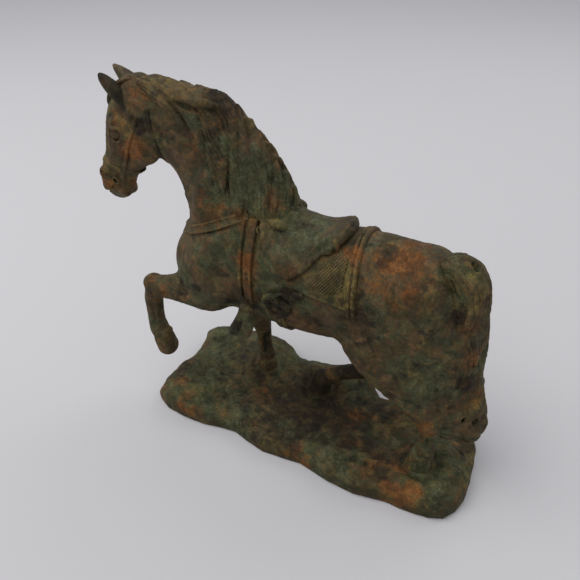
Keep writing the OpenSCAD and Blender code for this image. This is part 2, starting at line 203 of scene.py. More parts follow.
def add_torus(g, c, n, R, r, k=0.5, squash=1.0):
    c, n = np.array(c, float), np.array(n, float)
    n /= np.linalg.norm(n)
    q = g.sub(c - R - r - k - 2, c + R + r + k + 2)
    if q is None:
        return
    sl, X, Y, Z = q
    dx, dy, dz = X - c[0], Y - c[1], Z - c[2]
    t = dx * n[0] + dy * n[1] + dz * n[2]
    p = np.sqrt(np.maximum(dx * dx + dy * dy + (dz * squash) ** 2 - t * t, 0))
    g.f[sl] = smin(g.f[sl], (np.sqrt((p - R) ** 2 + t * t) - r).astype(np.float32), k)


def tilt(deg):
    """rows are the ellipsoid's own axes, turned about Y: own Z leans toward +X by deg"""
    a = math.radians(deg)
    c, s = math.cos(a), math.sin(a)
    return np.array([[c, 0, -s], [0, 1, 0], [s, 0, c]])


def poly_sdf(px, pz, poly):
    P = np.array(poly, float)
    d = np.full(np.broadcast(px, pz).shape, 1e9)
    s = np.ones(d.shape)
    n = len(P)
    for i in range(n):
        a, b = P[i], P[(i + 1) % n]
        e = b - a
        wx, wz = px - a[0], pz - a[1]
        t = np.clip((wx * e[0] + wz * e[1]) / (e @ e), 0, 1)
        d = np.minimum(d, (wx - e[0] * t) ** 2 + (wz - e[1] * t) ** 2)
        c1, c2, c3 = pz >= a[1], pz < b[1], e[0] * wz > e[1] * wx
        s = np.where((c1 & c2 & c3) | (~c1 & ~c2 & ~c3), -s, s)
    return (s * np.sqrt(d)).astype(np.float32)


# ------------------------------------------------------------------ noise
def _lattice(seed):
    return np.random.default_rng(seed).random((32, 32, 32)).astype(np.float32)


_LAT = {}


def vnoise(P, scale, seed=0):
    """value noise from -1 to 1 at points P (mm); scale is the cell size"""
    if seed not in _LAT:
        _LAT[seed] = _lattice(seed)
    L = _LAT[seed]
    q = P / scale + 1000.0
    i = np.floor(q).astype(int)
    f = (q - i).astype(np.float32)
    f = f * f * (3 - 2 * f)
    i0 = i & 31
    i1 = (i + 1) & 31
    x0, y0, z0 = i0.T
    x1, y1, z1 = i1.T
    fx, fy, fz = f.T
    a = L[x0, y0, z0] * (1 - fx) + L[x1, y0, z0] * fx
    b = L[x0, y1, z0] * (1 - fx) + L[x1, y1, z0] * fx
    c = L[x0, y0, z1] * (1 - fx) + L[x1, y0, z1] * fx
    d = L[x0, y1, z1] * (1 - fx) + L[x1, y1, z1] * fx
    return ((a * (1 - fy) + b * fy) * (1 - fz) + (c * (1 - fy) + d * fy) * fz) * 2 - 1


TURN = np.array([[0.00, 0.80, 0.60], [-0.80, 0.36, -0.48], [-0.60, -0.48, 0.64]])


def fbm(P, scale, octs=4, seed=0, gain=0.5):
    v, a, t = 0, 1.0, 0
    P = np.asarray(P, float)
    for o in range(octs):
        P = P @ TURN.T
        v = v + a * vnoise(P + 17.3 * o, scale, seed + o)
        t += a
        a *= gain
        scale /= 2.03
    return v / t


# ------------------------------------------------------------------ surface extraction
def nets(g):
    f, lo, h = g.f, g.lo, g.h
    s = f < 0
    nx, ny, nz = f.shape
    tot = np.zeros((nx - 1, ny - 1, nz - 1), np.uint8)
    for i in (0, 1):
        for j in (0, 1):
            for k in (0, 1):
                tot += s[i:nx - 1 + i, j:ny - 1 + j, k:nz - 1 + k]
    act = (tot > 0) & (tot < 8)
    ids = np.argwhere(act)
    idx = np.full(act.shape, -1, np.int32)
    idx[act] = np.arange(len(ids))
    i0, j0, k0 = ids.T
    V = {(i, j, k): f[i0 + i, j0 + j, k0 + k].astype(float) for i in (0, 1) for j in (0, 1) for k in (0, 1)}
    acc = np.zeros((len(ids), 3))
    cnt = np.zeros(len(ids))
    for i in (0, 1):
        for j in (0, 1):
            for k in (0, 1):
                for ax in range(3):
                    a = (i, j, k)
                    if a[ax]:
                        continue
                    b = tuple(a[m] + (m == ax) for m in range(3))
                    va, vb = V[a], V[b]
                    cr = (va < 0) != (vb < 0)
                    t = np.where(cr, va / np.where(cr, va - vb, 1), 0)
                    p = np.zeros((len(ids), 3))
                    p[:, 0], p[:, 1], p[:, 2] = a
                    p[:, ax] += t
                    acc += p * cr[:, None]
                    cnt += cr
    verts = lo + h * (ids + acc / cnt[:, None])
    quads = []
    for ax in range(3):
        u, v = (ax + 1) % 3, (ax + 2) % 3
        s0, s1 = [slice(None)] * 3, [slice(None)] * 3
        s0[ax], s1[ax] = slice(0, -1), slice(1, None)
        a, b = s[tuple(s0)], s[tuple(s1)]
        P = np.argwhere(a != b)
        P = P[(P[:, u] > 0) & (P[:, v] > 0) & (P[:, u] < f.shape[u] - 1) & (P[:, v] < f.shape[v] - 1)]
        inside = a[tuple(P.T)]

        def at(du, dv):
            q = P.copy()
            q[:, u] -= du
            q[:, v] -= dv
            return idx[tuple(q.T)]

        q = np.stack([at(1, 1), at(0, 1), at(0, 0), at(1, 0)], 1)
        q[~inside] = q[~inside][:, ::-1]
        quads.append(q)
    return verts, np.concatenate(quads)


def sample(g, P):
    """trilinear field value and gradient at P"""
    q = (P - g.lo) / g.h
    i = np.clip(np.floor(q).astype(int), 0, np.array(g.f.shape) - 2)
    t = np.clip(q - i, 0, 1)
    x, y, z = i.T
    v = [g.f[x + a, y + b, z + c].astype(float) for a in (0, 1) for b in (0, 1) for c in (0, 1)]
    fx, fy, fz = t.T
    c00 = v[0] * (1 - fx) + v[4] * fx
    c01 = v[1] * (1 - fx) + v[5] * fx
    c10 = v[2] * (1 - fx) + v[6] * fx
    c11 = v[3] * (1 - fx) + v[7] * fx
    val = (c00 * (1 - fy) + c10 * fy) * (1 - fz) + (c01 * (1 - fy) + c11 * fy) * fz
    gx = ((v[4] - v[0]) * (1 - fy) * (1 - fz) + (v[6] - v[2]) * fy * (1 - fz) + (v[5] - v[1]) * (1 - fy) * fz + (v[7] - v[3]) * fy * fz) / g.h
    gy = (c10 - c00) * (1 - fz) / g.h + (c11 - c01) * fz / g.h
    gz = ((c01 * (1 - fy) + c11 * fy) - (c00 * (1 - fy) + c10 * fy)) / g.h
    return val, np.stack([gx, gy, gz], 1)


def relax(verts, quads, n=2, w=0.5):
    e = np.concatenate([quads[:, [0, 1]], quads[:, [1, 2]], quads[:, [2, 3]], quads[:, [3, 0]]])
    cnt = np.bincount(e[:, 0], minlength=len(verts)) + np.bincount(e[:, 1], minlength=len(verts))
    for _ in range(n):
        s = np.stack([np.bincount(e[:, 0], weights=verts[e[:, 1], k], minlength=len(verts)) + np.bincount(e[:, 1], weights=verts[e[:, 0], k], minlength=len(verts)) for k in range(3)], 1)
        verts = verts + w * (s / np.maximum(cnt, 1)[:, None] - verts)
    return verts


def vnormals(verts, quads):
    a, b, c, d = (verts[quads[:, i]] for i in range(4))
    n = np.cross(c - a, d - b)
    out = np.zeros_like(verts)
    for i in range(4):
        for k in range(3):
            out[:, k] += np.bincount(quads[:, i], weights=n[:, k], minlength=len(verts))
    return out / (np.linalg.norm(out, axis=1)[:, None] + 1e-12)


def concavity(verts, quads, N, n=12):
    """how far the surface sits under its own smoothed copy: positive in hollows"""
    S = relax(verts, quads, n, 0.6)
    return ((S - verts) * N).sum(1)


def extract(g, smooth=2, rough=0.10, seed=3):
    v, q = nets(g)
    v = relax(v, q, smooth, 0.5)
    for _ in range(2):
        val, gr = sample(g, v)
        v = v - np.clip(val, -g.h, g.h)[:, None] * gr / np.maximum((gr ** 2).sum(1), 0.25)[:, None] * 0.6
    N = vnormals(v, q)
    if rough:
        v = v + N * (rough * (0.9 * fbm(v, 5.0, 3, seed) + 0.6 * fbm(v, 1.7, 2, seed + 9)))[:, None]
        N = vnormals(v, q)
    return v, q, N, concavity(v, q, N, 10)


# ------------------------------------------------------------------ patina masks with painted shade and painted highlight, by place
# centre (mm), reach (mm), strength
ORANGE = [((-37, -14, 144.5), 6, 1.1), ((-101, -11, 166), 6, 0.9), ((-96, -10, 168), 5, 0.8), ((-129, -7, 139), 5, 0.9), ((-36, -13, 142), 7, 1.0), ((-66, -9, 186), 5, 0.8), ((-50, -9, 189), 5, 0.8), ((47, -14, 139), 8, 1.0), ((33, -14, 142), 6, 0.8), ((-66, -39, 8), 7, 0.9), ((-52, -40, 7), 6, 0.9), ((61, -35, 9), 7, 1.0), ((-75, -33, 11), 7, 0.8), ((-56, -22, 12), 8, 0.6), ((2, 14, 10), 12, 0.5), ((-30, -8, 10), 9, 0.6),
          ((-52, -14, 141), 9, 1.0), ((-40, -16, 143), 7, 0.8), ((-78, -16, 86), 12, 0.9), ((-92, -17, 92), 8, 0.5), ((-86, -14, 99), 7, 0.8),
          ((45, -8, 136), 12, 1.2), ((52, -10, 131), 9, 1.1), ((40, -15, 128), 9, 0.9), ((44, -18, 120), 7, 0.8), ((-30, -24, 122), 7, 1.0),
          ((-29, -24, 108), 7, 1.0), ((24, -14, 137), 6, 0.6), ((-5, -22, 122), 6, 0.8), ((-38, -24, 106), 6, 0.4), ((72, -20, 48), 5, 1.3),
          ((80, -8, 112), 7, 0.9), ((86, -8, 92), 7, 0.9), ((90, -8, 66), 7, 0.8), ((-132, -6, 141), 6, 0.8), ((-108, -9, 160), 6, 0.9),
          ((-118, -8, 176), 7, 0.6), ((-95, -2, 190), 9, 0.7), ((-60, -10, 178), 8, 0.7), ((-48, -11, 168), 7, 0.7), ((2, -26, 92), 10, 0.6),
          ((20, -27, 84), 8, 0.6), ((-16, -27, 84), 7, 0.7), ((62, -24, 12), 10, 0.9), ((70, -38, 9), 8, 1.3), ((48, -24, 11), 9, 0.8),
          ((60, -10, 13), 7, 0.9), ((-84, -24, 10), 9, 0.8), ((-92, -30, 5), 8, 1.0), ((-30, -30, 10), 9, 0.7), ((6, -36, 8), 9, 0.9),
          ((24, 4, 11), 8, 0.9), ((34, -14, 11), 9, 0.8), ((-56, -8, 12), 9, 0.7), ((92, 4, 13), 8, 0.6), ((96, -26, 9), 7, 0.8), ((48, 14, 13), 9, 0.8),
          ((-62, 20, 100), 12, 0.8), ((30, 22, 120), 12, 0.9), ((55, 18, 96), 10, 0.7), ((-20, 24, 88), 12, 0.6), ((-60, 10, 160), 10, 0.7)]
GREEN = [((-26, -30, 90), 6, 1.2), ((-33, -34, 9), 14, 1.2), ((6, -33, 9), 14, 1.0), ((83, 1, 15), 9, 1.0), ((74, -14, 70), 9, 0.8), ((66, -21, 78), 7, 0.9), ((22, -26, 100), 6, 1.0), ((-80, 20, 12), 14, 0.9), ((-30, 30, 12), 16, 0.8), ((-45, -12, 152), 14, 1.0), ((-38, -12, 160), 12, 1.0), ((-30, -14, 150), 9, 0.9), ((-14, -22, 112), 10, 0.9), ((-31, -28, 88), 10, 1.2),
         ((66, -14, 122), 8, 0.9), ((64, -20, 90), 9, 1.0), ((66, -20, 68), 9, 1.0), ((80, -16, 46), 9, 1.1), ((-50, -20, 118), 12, 0.7),
         ((-12, -20, 136), 12, 0.8), ((-20, -30, 92), 9, 0.9), ((20, -26, 92), 8, 0.8), ((-60, -18, 12), 22, 1.0), ((-76, 10, 12), 20, 0.9),
         ((-48, 38, 14), 16, 0.9), ((76, 6, 14), 16, 1.0), ((20, -30, 11), 16, 0.8), ((88, -28, 11), 14, 0.9), ((10, 38, 13), 16, 0.9),
         ((0, -22, 10), 14, 0.6), ((30, -36, 8), 10, 0.8), ((-110, -8, 170), 8, 0.4), ((-40, 14, 150), 14, 0.9), ((0, 24, 110), 14, 0.8), ((60, 20, 70), 12, 0.9)]
# dark patches: dark patina, and painted shade on the stirrup's front face turned from the light (-36, -30, 88), on the
# far legs and under the belly (the entries at y 10 to 16, z 24 to 80), in the holes of the tail web (86, -12, 80),
# (86, -10, 78), (74, -12, 117), in the hollow inside the girth ring (-7, -28, 109.6), (-7.6, -27, 108.6) and in the
# pit above the cheek (-94.8, -10, 178.5), (-94.6, -11, 179); the entries round the middle of the plate make it darker
# under the horse
DARK_AND_SHADE = [((63.5, -12, 131), 5, 0.8), ((30, -2, 10), 20, 0.7), ((-113, -8, 187.5), 3, 0.9), ((-106, -9, 184.5), 3, 0.9), ((-100, -9, 181.5), 3.5, 1.0), ((-94.8, -10, 178.5), 4.5, 1.3), ((-7, -28, 109.6), 5.5, 1.4), ((-0.6, -27, 113.4), 4, 1.0), ((-36, -30, 88), 7, 1.1), ((-7.6, -27, 108.6), 4, 1.3), ((-2, -10, 8), 30, 1.0), ((60, -14, 112), 9, 0.6), ((30, -18, 118), 9, 0.5), ((86, -12, 80), 3.5, 1.5), ((74, -12, 117), 3, 1.2),
        ((-82, -8, 8), 14, 0.5), ((-66, 4, 12), 14, 0.6), ((52, -26, 9), 10, 0.7), ((-94.6, -11, 179), 3.5, 1.2), ((-112, -10, 167), 2.5, 0.8), ((-2, -6, 10), 26, 1.3), ((20, 0, 10), 22, 1.2), ((-10, -26, 104), 6, 1.3), ((-32, -22, 92), 6, 0.9), ((30, -22, 108), 12, 0.8), ((10, -24, 96), 10, 0.5),
        ((-36, 16, 40), 12, 0.8), ((-8, 16, 24), 16, 1.1), ((20, 16, 40), 20, 1.2), ((86, -10, 78), 5, 1.2), ((16, 0, 148), 6, 1.0), ((40, 10, 80), 20, 0.7),
        ((-118, -10, 166), 5, 0.8), ((-50, 0, 195), 9, 0.6), ((40, -12, 10), 14, 0.9), ((-123, -8, 198), 8, 0.9), ((5, -20, 130), 6, 0.5)]
# ochre patches: ochre patina, and painted highlight in the lighter streak down the near hind thigh (the first four
# entries) and on the top of the blanket binding (23.2, -8, 146), (23.2, -18, 144)
OCHRE_AND_HIGHLIGHT = [((62.7, -24, 118.6), 5.5, 0.8), ((65.0, -24, 104), 5.5, 0.8), ((66.5, -23, 90), 5.5, 0.8), ((68, -22, 74), 5.5, 0.7), ((23.2, -8, 146), 5, 0.9), ((23.2, -18, 144), 5, 0.7), ((92, -8, 64), 7, 0.6), ((-108, -9.5, 177.5), 4, 1.0), ((-103.5, -10, 172), 4, 1.0), ((-106, -10, 164.5), 4, 0.7), ((-117, -7, 175.5), 3, 0.8), ((-74, -26, 12), 10, 0.9), ((-66, 16, 12), 9, 0.8), ((-20, -14, 146), 9, 0.7), ((14, -22, 124), 10, 1.0), ((24, -22, 124), 9, 0.8), ((-29, -25, 114), 8, 0.7),
         ((70, -8, 132), 10, 0.6), ((62, -22, 84), 8, 0.9), ((82, -4, 130), 8, 0.5), ((-84, -4, 196), 10, 1.0), ((-72, -6, 193), 8, 0.8), ((-116, -4, 184), 8, 0.8),
         ((-128, -6, 146), 7, 0.8), ((96, -14, 10), 9, 1.2), ((98, 2, 8), 9, 1.2), ((60, -30, 11), 9, 0.7), ((28, -42, 6), 10, 0.7), ((-12, -38, 6), 8, 0.7),
         ((58, 12, 13), 12, 0.8), ((0, 26, 10), 12, 0.7), ((76, -36, 10), 9, 0.8), ((-20, -26, 112), 6, 0.5), ((20, 24, 124), 12, 0.7)]


def spots(P, table, wobble):
    out = np.zeros(len(P))
    for c, r, s in table:
        d = np.linalg.norm(P - np.array(c), axis=1) / r
        out = np.maximum(out, s * np.clip(1.25 - 0.85 * d + 1.1 * wobble, 0, 1))
    return out


def masks(P, N, cav, bias):
    w1 = fbm(P, 11.0, 5, 40, 0.65)
    w2 = fbm(P, 4.0, 4, 50, 0.65)
    w3 = fbm(P, 6.0, 4, 140, 0.65)
    up = np.clip(N[:, 2], 0, 1)
    o = 0.80 * spots(P, ORANGE, 0.8 * w1 + 0.5 * w2) + 0.60 * np.clip(fbm(P, 14.0, 4, 60, 0.6) * 2.0 - 0.12 + 0.5 * w2, 0, 1) + bias[0]
    gr = spots(P, GREEN, 0.8 * w3) * 0.85 + 0.85 * np.clip(fbm(P, 16.0, 4, 70, 0.6) * 2.2 + 0.22, 0, 1) + bias[1] + np.clip(cav * 1.4, -0.2, 0.5)
    # dark: the dark patches, painted shade in hollows from the concavity, and fbm blotches
    dark_and_shade = 0.95 * spots(P, DARK_AND_SHADE, 0.8 * w3) + np.clip(cav * 3.0, 0, 1.0) + 0.75 * np.clip(fbm(P, 10.0, 4, 80, 0.6) * 2.2 - 0.02, 0, 1) + bias[2]
    # ochre: the ochre patches, painted highlight on ridges from the negative concavity, a slight painted top light on
    # upward-facing surfaces, and fbm blotches
    ochre_and_highlight = spots(P, OCHRE_AND_HIGHLIGHT, 0.6 * (w2 + w3)) * 0.8 + np.clip(-cav * 2.2, 0, 0.6) + 0.55 * np.clip(fbm(P, 9.0, 4, 90, 0.6) * 2.2 - 0.15, 0, 1) + 0.06 * up + bias[3]
    return np.clip(np.stack([o, gr, dark_and_shade, ochre_and_highlight], 1), 0, 1)


# ------------------------------------------------------------------ material
def patina_and_shading(name, base=(0.070, 0.048, 0.024), rough=0.66, metal=0.12, bump=0.5, grain=1.0):
    m = bpy.data.materials.new(name)
    m.use_nodes = True
    nt = m.node_tree
    nd, ln = nt.nodes, nt.links
    nd.clear()
    out = nd.new("ShaderNodeOutputMaterial")
    bs = nd.new("ShaderNodeBsdfPrincipled")
    ln.new(bs.outputs[0], out.inputs[0])
    bs.inputs["Metallic"].default_value = metal
    bs.inputs["Specular IOR Level"].default_value = 0.22
    co = nd.new("ShaderNodeTexCoord")
    at = nd.new("ShaderNodeAttribute")
    at.attribute_name = "patina_and_shading"
    sep = nd.new("ShaderNodeSeparateColor")
    ln.new(at.outputs["Color"], sep.inputs[0])

    def noise(scale, detail=6, rough_=0.6, dist=0.0, shift=0.0):
        n = nd.new("ShaderNodeTexNoise")
        n.inputs["Scale"].default_value = scale * grain
        n.inputs["Detail"].default_value = detail
        n.inputs["Roughness"].default_value = rough_
        n.inputs["Distortion"].default_value = dist
        mp = nd.new("ShaderNodeMapping")
        mp.inputs["Location"].default_value = (shift, shift * 0.7, -shift)
        mp.inputs["Rotation"].default_value = (0.6 + shift, 0.4, 0.9)
        ln.new(co.outputs["Object"], mp.inputs["Vector"])
        ln.new(mp.outputs[0], n.inputs["Vector"])
        return n.outputs["Fac"]

    def math_(op, a, b=None, clamp=False):
        n = nd.new("ShaderNodeMath")
        n.operation = op
        n.use_clamp = clamp
        for i, x in enumerate((a, b)):
            if x is None:
                continue
            if isinstance(x, (int, float)):
                n.inputs[i].default_value = x
            else:
                ln.new(x, n.inputs[i])
        return n.outputs[0]

    def ramp(x, lo, hi):
        n = nd.new("ShaderNodeMapRange")
        n.interpolation_type = "SMOOTHSTEP"
        n.inputs["From Min"].default_value = lo
        n.inputs["From Max"].default_value = hi
        ln.new(x, n.inputs["Value"])
        return n.outputs[0]

    def mix(f, a, b):
        n = nd.new("ShaderNodeMix")
        n.data_type = "RGBA"
        ln.new(f, n.inputs["Factor"])
        for s, x in ((n.inputs[6], a), (n.inputs[7], b)):
            if isinstance(x, tuple):
                s.default_value = (*x, 1)
            else:
                ln.new(x, s)
        return n.outputs[2]

    fine = noise(1000, 5, 0.68, 0.0, 0.0)
    fine2 = noise(620, 5, 0.68, 0.3, 1.3)
    mid = noise(300, 6, 0.66, 0.3, 2.1)
    mid2 = noise(190, 5, 0.58, 0.7, 3.7)
    big = noise(110, 7, 0.64, 0.4, 5.2)
    streak = noise(160, 6, 0.62, 1.1, 7.9)
    # the metal skin: brown to olive, lighter and violet-brown in places
    c = mix(ramp(big, 0.40, 0.60), base, (base[0] * 0.72, base[1] * 0.90, base[2] * 0.80))
    c = mix(math_("MULTIPLY", ramp(mid, 0.46, 0.66), 0.75), c, (base[0] * 1.9, base[1] * 1.65, base[2] * 1.5))
    c = mix(math_("MULTIPLY", ramp(streak, 0.50, 0.66), 0.55), c, (0.074, 0.044, 0.034))
    c = mix(math_("MULTIPLY", ramp(fine2, 0.54, 0.68), 0.35), c, (0.028, 0.021, 0.012))

    def patch(socket, n, lo, hi, strength):
        v = math_("ADD", socket, math_("MULTIPLY", math_("SUBTRACT", n, 0.5), 1.7))
        return math_("MULTIPLY", ramp(v, lo, hi), strength)

    gcol = mix(ramp(streak, 0.40, 0.62), (0.038, 0.043, 0.018), (0.060, 0.067, 0.034))
    gcol = mix(ramp(fine, 0.52, 0.70), gcol, (0.115, 0.130, 0.085))
    c = mix(patch(sep.outputs[1], mid2, 0.15, 1.05, 0.85), c, gcol)
    # ochre from the alpha channel: ochre patina with painted highlight on ridges, tops and the highlight streaks
    ocol = mix(ramp(mid, 0.40, 0.64), (0.100, 0.078, 0.027), (0.190, 0.148, 0.052))
    c = mix(patch(at.outputs["Alpha"], streak, 0.25, 1.30, 0.72), c, ocol)
    rcol = mix(ramp(fine, 0.38, 0.64), (0.112, 0.046, 0.018), (0.212, 0.088, 0.033))
    c = mix(patch(sep.outputs[0], streak, 0.22, 1.20, 0.85), c, rcol)
    # dark from the blue channel: dark patina with painted shade in hollows and shaded places
    c = mix(patch(sep.outputs[2], mid2, 0.20, 1.15, 0.88), c, (0.0135, 0.0085, 0.0045))
    # speckle of pale dust and dark pits
    c = mix(math_("MULTIPLY", ramp(fine, 0.62, 0.74), 0.28), c, (0.26, 0.22, 0.15))
    pits = ramp(noise(1400, 4, 0.7, 0.0, 9.1), 0.30, 0.42)
    c = mix(math_("MULTIPLY", math_("SUBTRACT", 1.0, pits), 0.55), c, (0.012, 0.008, 0.005))
    # lighter and darker grain, richer colour
    for n_, lo, lift, span in ((noise(125, 4, 0.52, 0.9, 11.3), 0.36, 0.72, 0.62), (noise(700, 4, 0.6, 0.3, 12.7), 0.34, 0.85, 0.30)):
        val = math_("ADD", math_("MULTIPLY", ramp(n_, lo, 1 - lo), span), lift)
        mm = nd.new("ShaderNodeMix")
        mm.data_type = "RGBA"
        mm.blend_type = "MULTIPLY"
        mm.inputs["Factor"].default_value = 1
        ln.new(c, mm.inputs[6])
        ln.new(val, mm.inputs[7])
        c = mm.outputs[2]
    hs = nd.new("ShaderNodeHueSaturation")
    hs.inputs["Saturation"].default_value = 1.10
    hs.inputs["Value"].default_value = 0.97
    ln.new(c, hs.inputs["Color"])
    c = hs.outputs[0]
    ln.new(c, bs.inputs["Base Color"])
    r = nd.new("ShaderNodeMapRange")
    r.inputs["From Min"].default_value = 0.3
    r.inputs["From Max"].default_value = 0.7
    r.inputs["To Min"].default_value = rough - 0.10
    r.inputs["To Max"].default_value = rough + 0.22
    ln.new(mid, r.inputs["Value"])
    ln.new(r.outputs[0], bs.inputs["Roughness"])
    hgt = math_("ADD", math_("MULTIPLY", mid, 0.7), math_("ADD", math_("MULTIPLY", fine, 0.4), math_("MULTIPLY", pits, 0.25)))
    b = nd.new("ShaderNodeBump")
    b.inputs["Strength"].default_value = bump
    b.inputs["Distance"].default_value = 0.0008
    ln.new(hgt, b.inputs["Height"])
    ln.new(b.outputs[0], bs.inputs["Normal"])
    return m


MAT = {
    "bronze_body": patina_and_shading("bronze_body"),
    "bronze_dark": patina_and_shading("bronze_dark", base=(0.062, 0.045, 0.023), rough=0.62),
    "bronze_rust": patina_and_shading("bronze_rust", base=(0.074, 0.050, 0.025), rough=0.66, bump=0.55),
    "bronze_green": patina_and_shading("bronze_green", base=(0.060, 0.045, 0.021), rough=0.68, bump=0.6, grain=0.8),
}


def strands(geo, C, pitch, amp, slope, warp=2.2, seed=200):
    """combed relief: ridges that run along the centre line C, leaning across it by slope"""
    v, q, N, cav = geo
    seg = np.r_[0, np.cumsum(np.linalg.norm(np.diff(C, axis=0), axis=1))]
    k = np.empty(len(v), int)
    for a in range(0, len(v), 20000):
        k[a:a + 20000] = np.argmin(((v[a:a + 20000, None, :] - C[None]) ** 2).sum(2), axis=1)
    T = np.gradient(C, axis=0)
    T /= np.linalg.norm(T, axis=1)[:, None]
    d = v - C[k]
    u = seg[k] + (d * T[k]).sum(1)
    r = d - T[k] * (d * T[k]).sum(1)[:, None]
    side = np.cross(T[k], [0, 1.0, 0])
    side /= np.linalg.norm(side, axis=1)[:, None] + 1e-9
    if slope is None:  # round a tail: the angle measured across it
        w = np.arctan2((r * side).sum(1), r[:, 1]) * 11.0
        w = w + 2.6 * np.sin(u / 7.0 + fbm(v, 16.0, 2, seed + 5) * 3)
    else:
        w = -(r * side).sum(1) * 1.15 - r[:, 1] * 0.35 - slope * u
    w = w + warp * fbm(v, 13.0, 3, seed)
    rid = 0.5 + 0.5 * np.cos(2 * np.pi * w / pitch)
    fine = 0.5 + 0.5 * np.cos(2 * np.pi * w / (pitch * 0.43) + 2)
    fade = np.clip(0.75 + 0.7 * fbm(v, 9.0, 2, seed + 9), 0.25, 1.2)
    v = v + N * (fade * (amp * (rid ** 0.7 - 0.55) + 0.35 * amp * (fine - 0.5)))[:, None]
    N = vnormals(v, q)
    return v, q, N, concavity(v, q, N, 8)


def make(name, geo, slot, nodes=(), bias=(0, 0, 0, 0), extra=None):
    v, q, N, cav = geo
    me = bpy.data.meshes.new(name)
    faces = q if isinstance(q, list) else q.tolist()
    me.from_pydata(((v + OFF) / 1000).tolist(), [], faces)
    at = me.attributes.new("patina_and_shading", "FLOAT_COLOR", "POINT")
    mk = masks(v, N, cav, bias)
    if extra is not None:
        mk = np.clip(mk * extra(v)[1] + extra(v)[0], 0, 1)
    at.data.foreach_set("color", mk.astype(np.float32).ravel())
    me.polygons.foreach_set("use_smooth", np.ones(len(me.polygons), bool))
    me.normals_split_custom_set_from_vertices(N.tolist())
    me.update()
    o = bpy.data.objects.new(name, me)
    bpy.context.scene.collection.objects.link(o)
    me.materials.append(MAT[slot])
    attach(o, "root")
    if nodes:
        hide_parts(*nodes)
    return o


def cut_out(geo, keep):
    """the faces kept, with each open edge loop closed by a fan to its own middle"""
    v, q, N, cav = geo
    f = q[keep]
    used = np.unique(f)
    remap = np.full(len(v), -1)
    remap[used] = np.arange(len(used))
    f = remap[f]
    v, N, cav = v[used], N[used], cav[used]
    e = np.concatenate([f[:, [0, 1]], f[:, [1, 2]], f[:, [2, 3]], f[:, [3, 0]]])
    n = len(v)
    key = e[:, 0].astype(np.int64) * n + e[:, 1]
    back = e[:, 1].astype(np.int64) * n + e[:, 0]
    be = e[~np.isin(key, back)]
    nxt = {}
    for a, b in be.tolist():
        nxt.setdefault(a, []).append(b)
    faces = f.tolist()
    V, NN, CC = [v], [N], [cav]
    count = n
    while nxt:
        start = next(iter(nxt))
        loop, cur = [start], start
        while True:
            opts = nxt[cur]
            b = opts.pop()
            if not opts:
                del nxt[cur]
            if b == start:
                break
            loop.append(b)
            cur = b
            if cur not in nxt:
                break
        c = v[loop].mean(0) - N[loop].mean(0) * 0.5
        V.append(c[None])
        NN.append(N[loop].mean(0)[None] * -1)
        CC.append(np.zeros(1))
        for i in range(len(loop)):
            faces.append([loop[(i + 1) % len(loop)], loop[i], count])
        count += 1
    return np.concatenate(V), faces, np.concatenate(NN), np.concatenate(CC)


# ------------------------------------------------------------------ station tables (mm)
def R_(rows):
    return [[a, y, b, c, y, d, w] for a, b, c, d, y, w in rows]


TORSO = R_([(-77, 106, -77, 88, 0, 8), (-74, 116, -74, 83, 0, 14), (-67.5, 126, -67.5, 80, 0, 18.5), (-58, 134, -58, 78, 0, 21.5),
            (-45, 139, -45, 77, 0, 22.5), (-30, 141, -30, 76, 0, 23), (-15, 138.5, -15, 75.5, 0, 24), (0, 136.5, 0, 76, 0, 24.5),
            (15, 138, 15, 78, 0, 24.5), (28, 141, 28, 82, 0, 23.5), (40, 141, 40, 83, 0, 23.5), (51, 139, 51, 81, 0, 22.5),
            (61, 133.5, 61, 80, 0, 19.5), (69, 124, 69, 84, 0, 13), (73, 114, 73, 91, 0, 7)])
NECK = R_([(-72, 104, -14, 128, 0, 19), (-74, 114, -15, 137, 0, 18.5), (-75, 125, -19, 146, 0, 16), (-76.5, 136, -25, 157, 0, 13.5),
           (-79, 146, -34, 170, 0, 11.5), (-82, 152, -46, 181, 0, 10.5), (-86, 156, -58, 188.5, 0, 9.6), (-91, 159, -70, 192, 0, 9),
           (-98, 162, -84, 194, 0, 8.6), (-106, 168, -97, 194.5, 0, 8)])
HEAD = R_([(-104, 197.5, -94, 193, 0, 5.5), (-112, 194, -86, 180, 0, 8.5), (-119, 186, -88.5, 168, 0, 9.3), (-123.3, 178, -92, 160, 0, 9.6),
           (-126, 168.5, -99, 153.5, 0, 9.0), (-129, 158, -107, 148, 0, 7.4), (-133, 150.5, -112, 143, 0, 6.3), (-136, 143, -115, 136.5, 0, 6.4),
           (-137.5, 137, -117, 131.5, 0, 6.4), (-134.5, 131, -121, 128.5, 0, 5)])
LF = [[-72, -9, 112, -44, -9, 112, 12], [-76, -12, 100, -45, -12, 90, 12], [-77, -14, 94.5, -52, -14, 81, 9.5], [-84, -15.5, 94, -68, -15.5, 79, 7.3],
      [-91, -16.5, 91.5, -80, -16.5, 79.5, 6.5], [-97.6, -17, 89.2, -87.5, -17, 79.5, 6.3], [-102.4, -17, 83, -91.5, -17, 78.5, 6.2],
      [-105, -17, 75, -94, -17, 74, 5.6], [-105.3, -17, 66, -95, -17, 66, 5.2], [-105.5, -17, 57, -95.2, -17, 57, 5.2],
      [-105.2, -17, 50, -93.5, -17, 50.5, 5.9], [-103, -17, 44, -92, -17, 47.5, 5.4], [-103, -17, 41.5, -90.5, -17, 45, 6.4],
      [-100, -17, 34, -89.8, -17, 41.4, 6.9]]
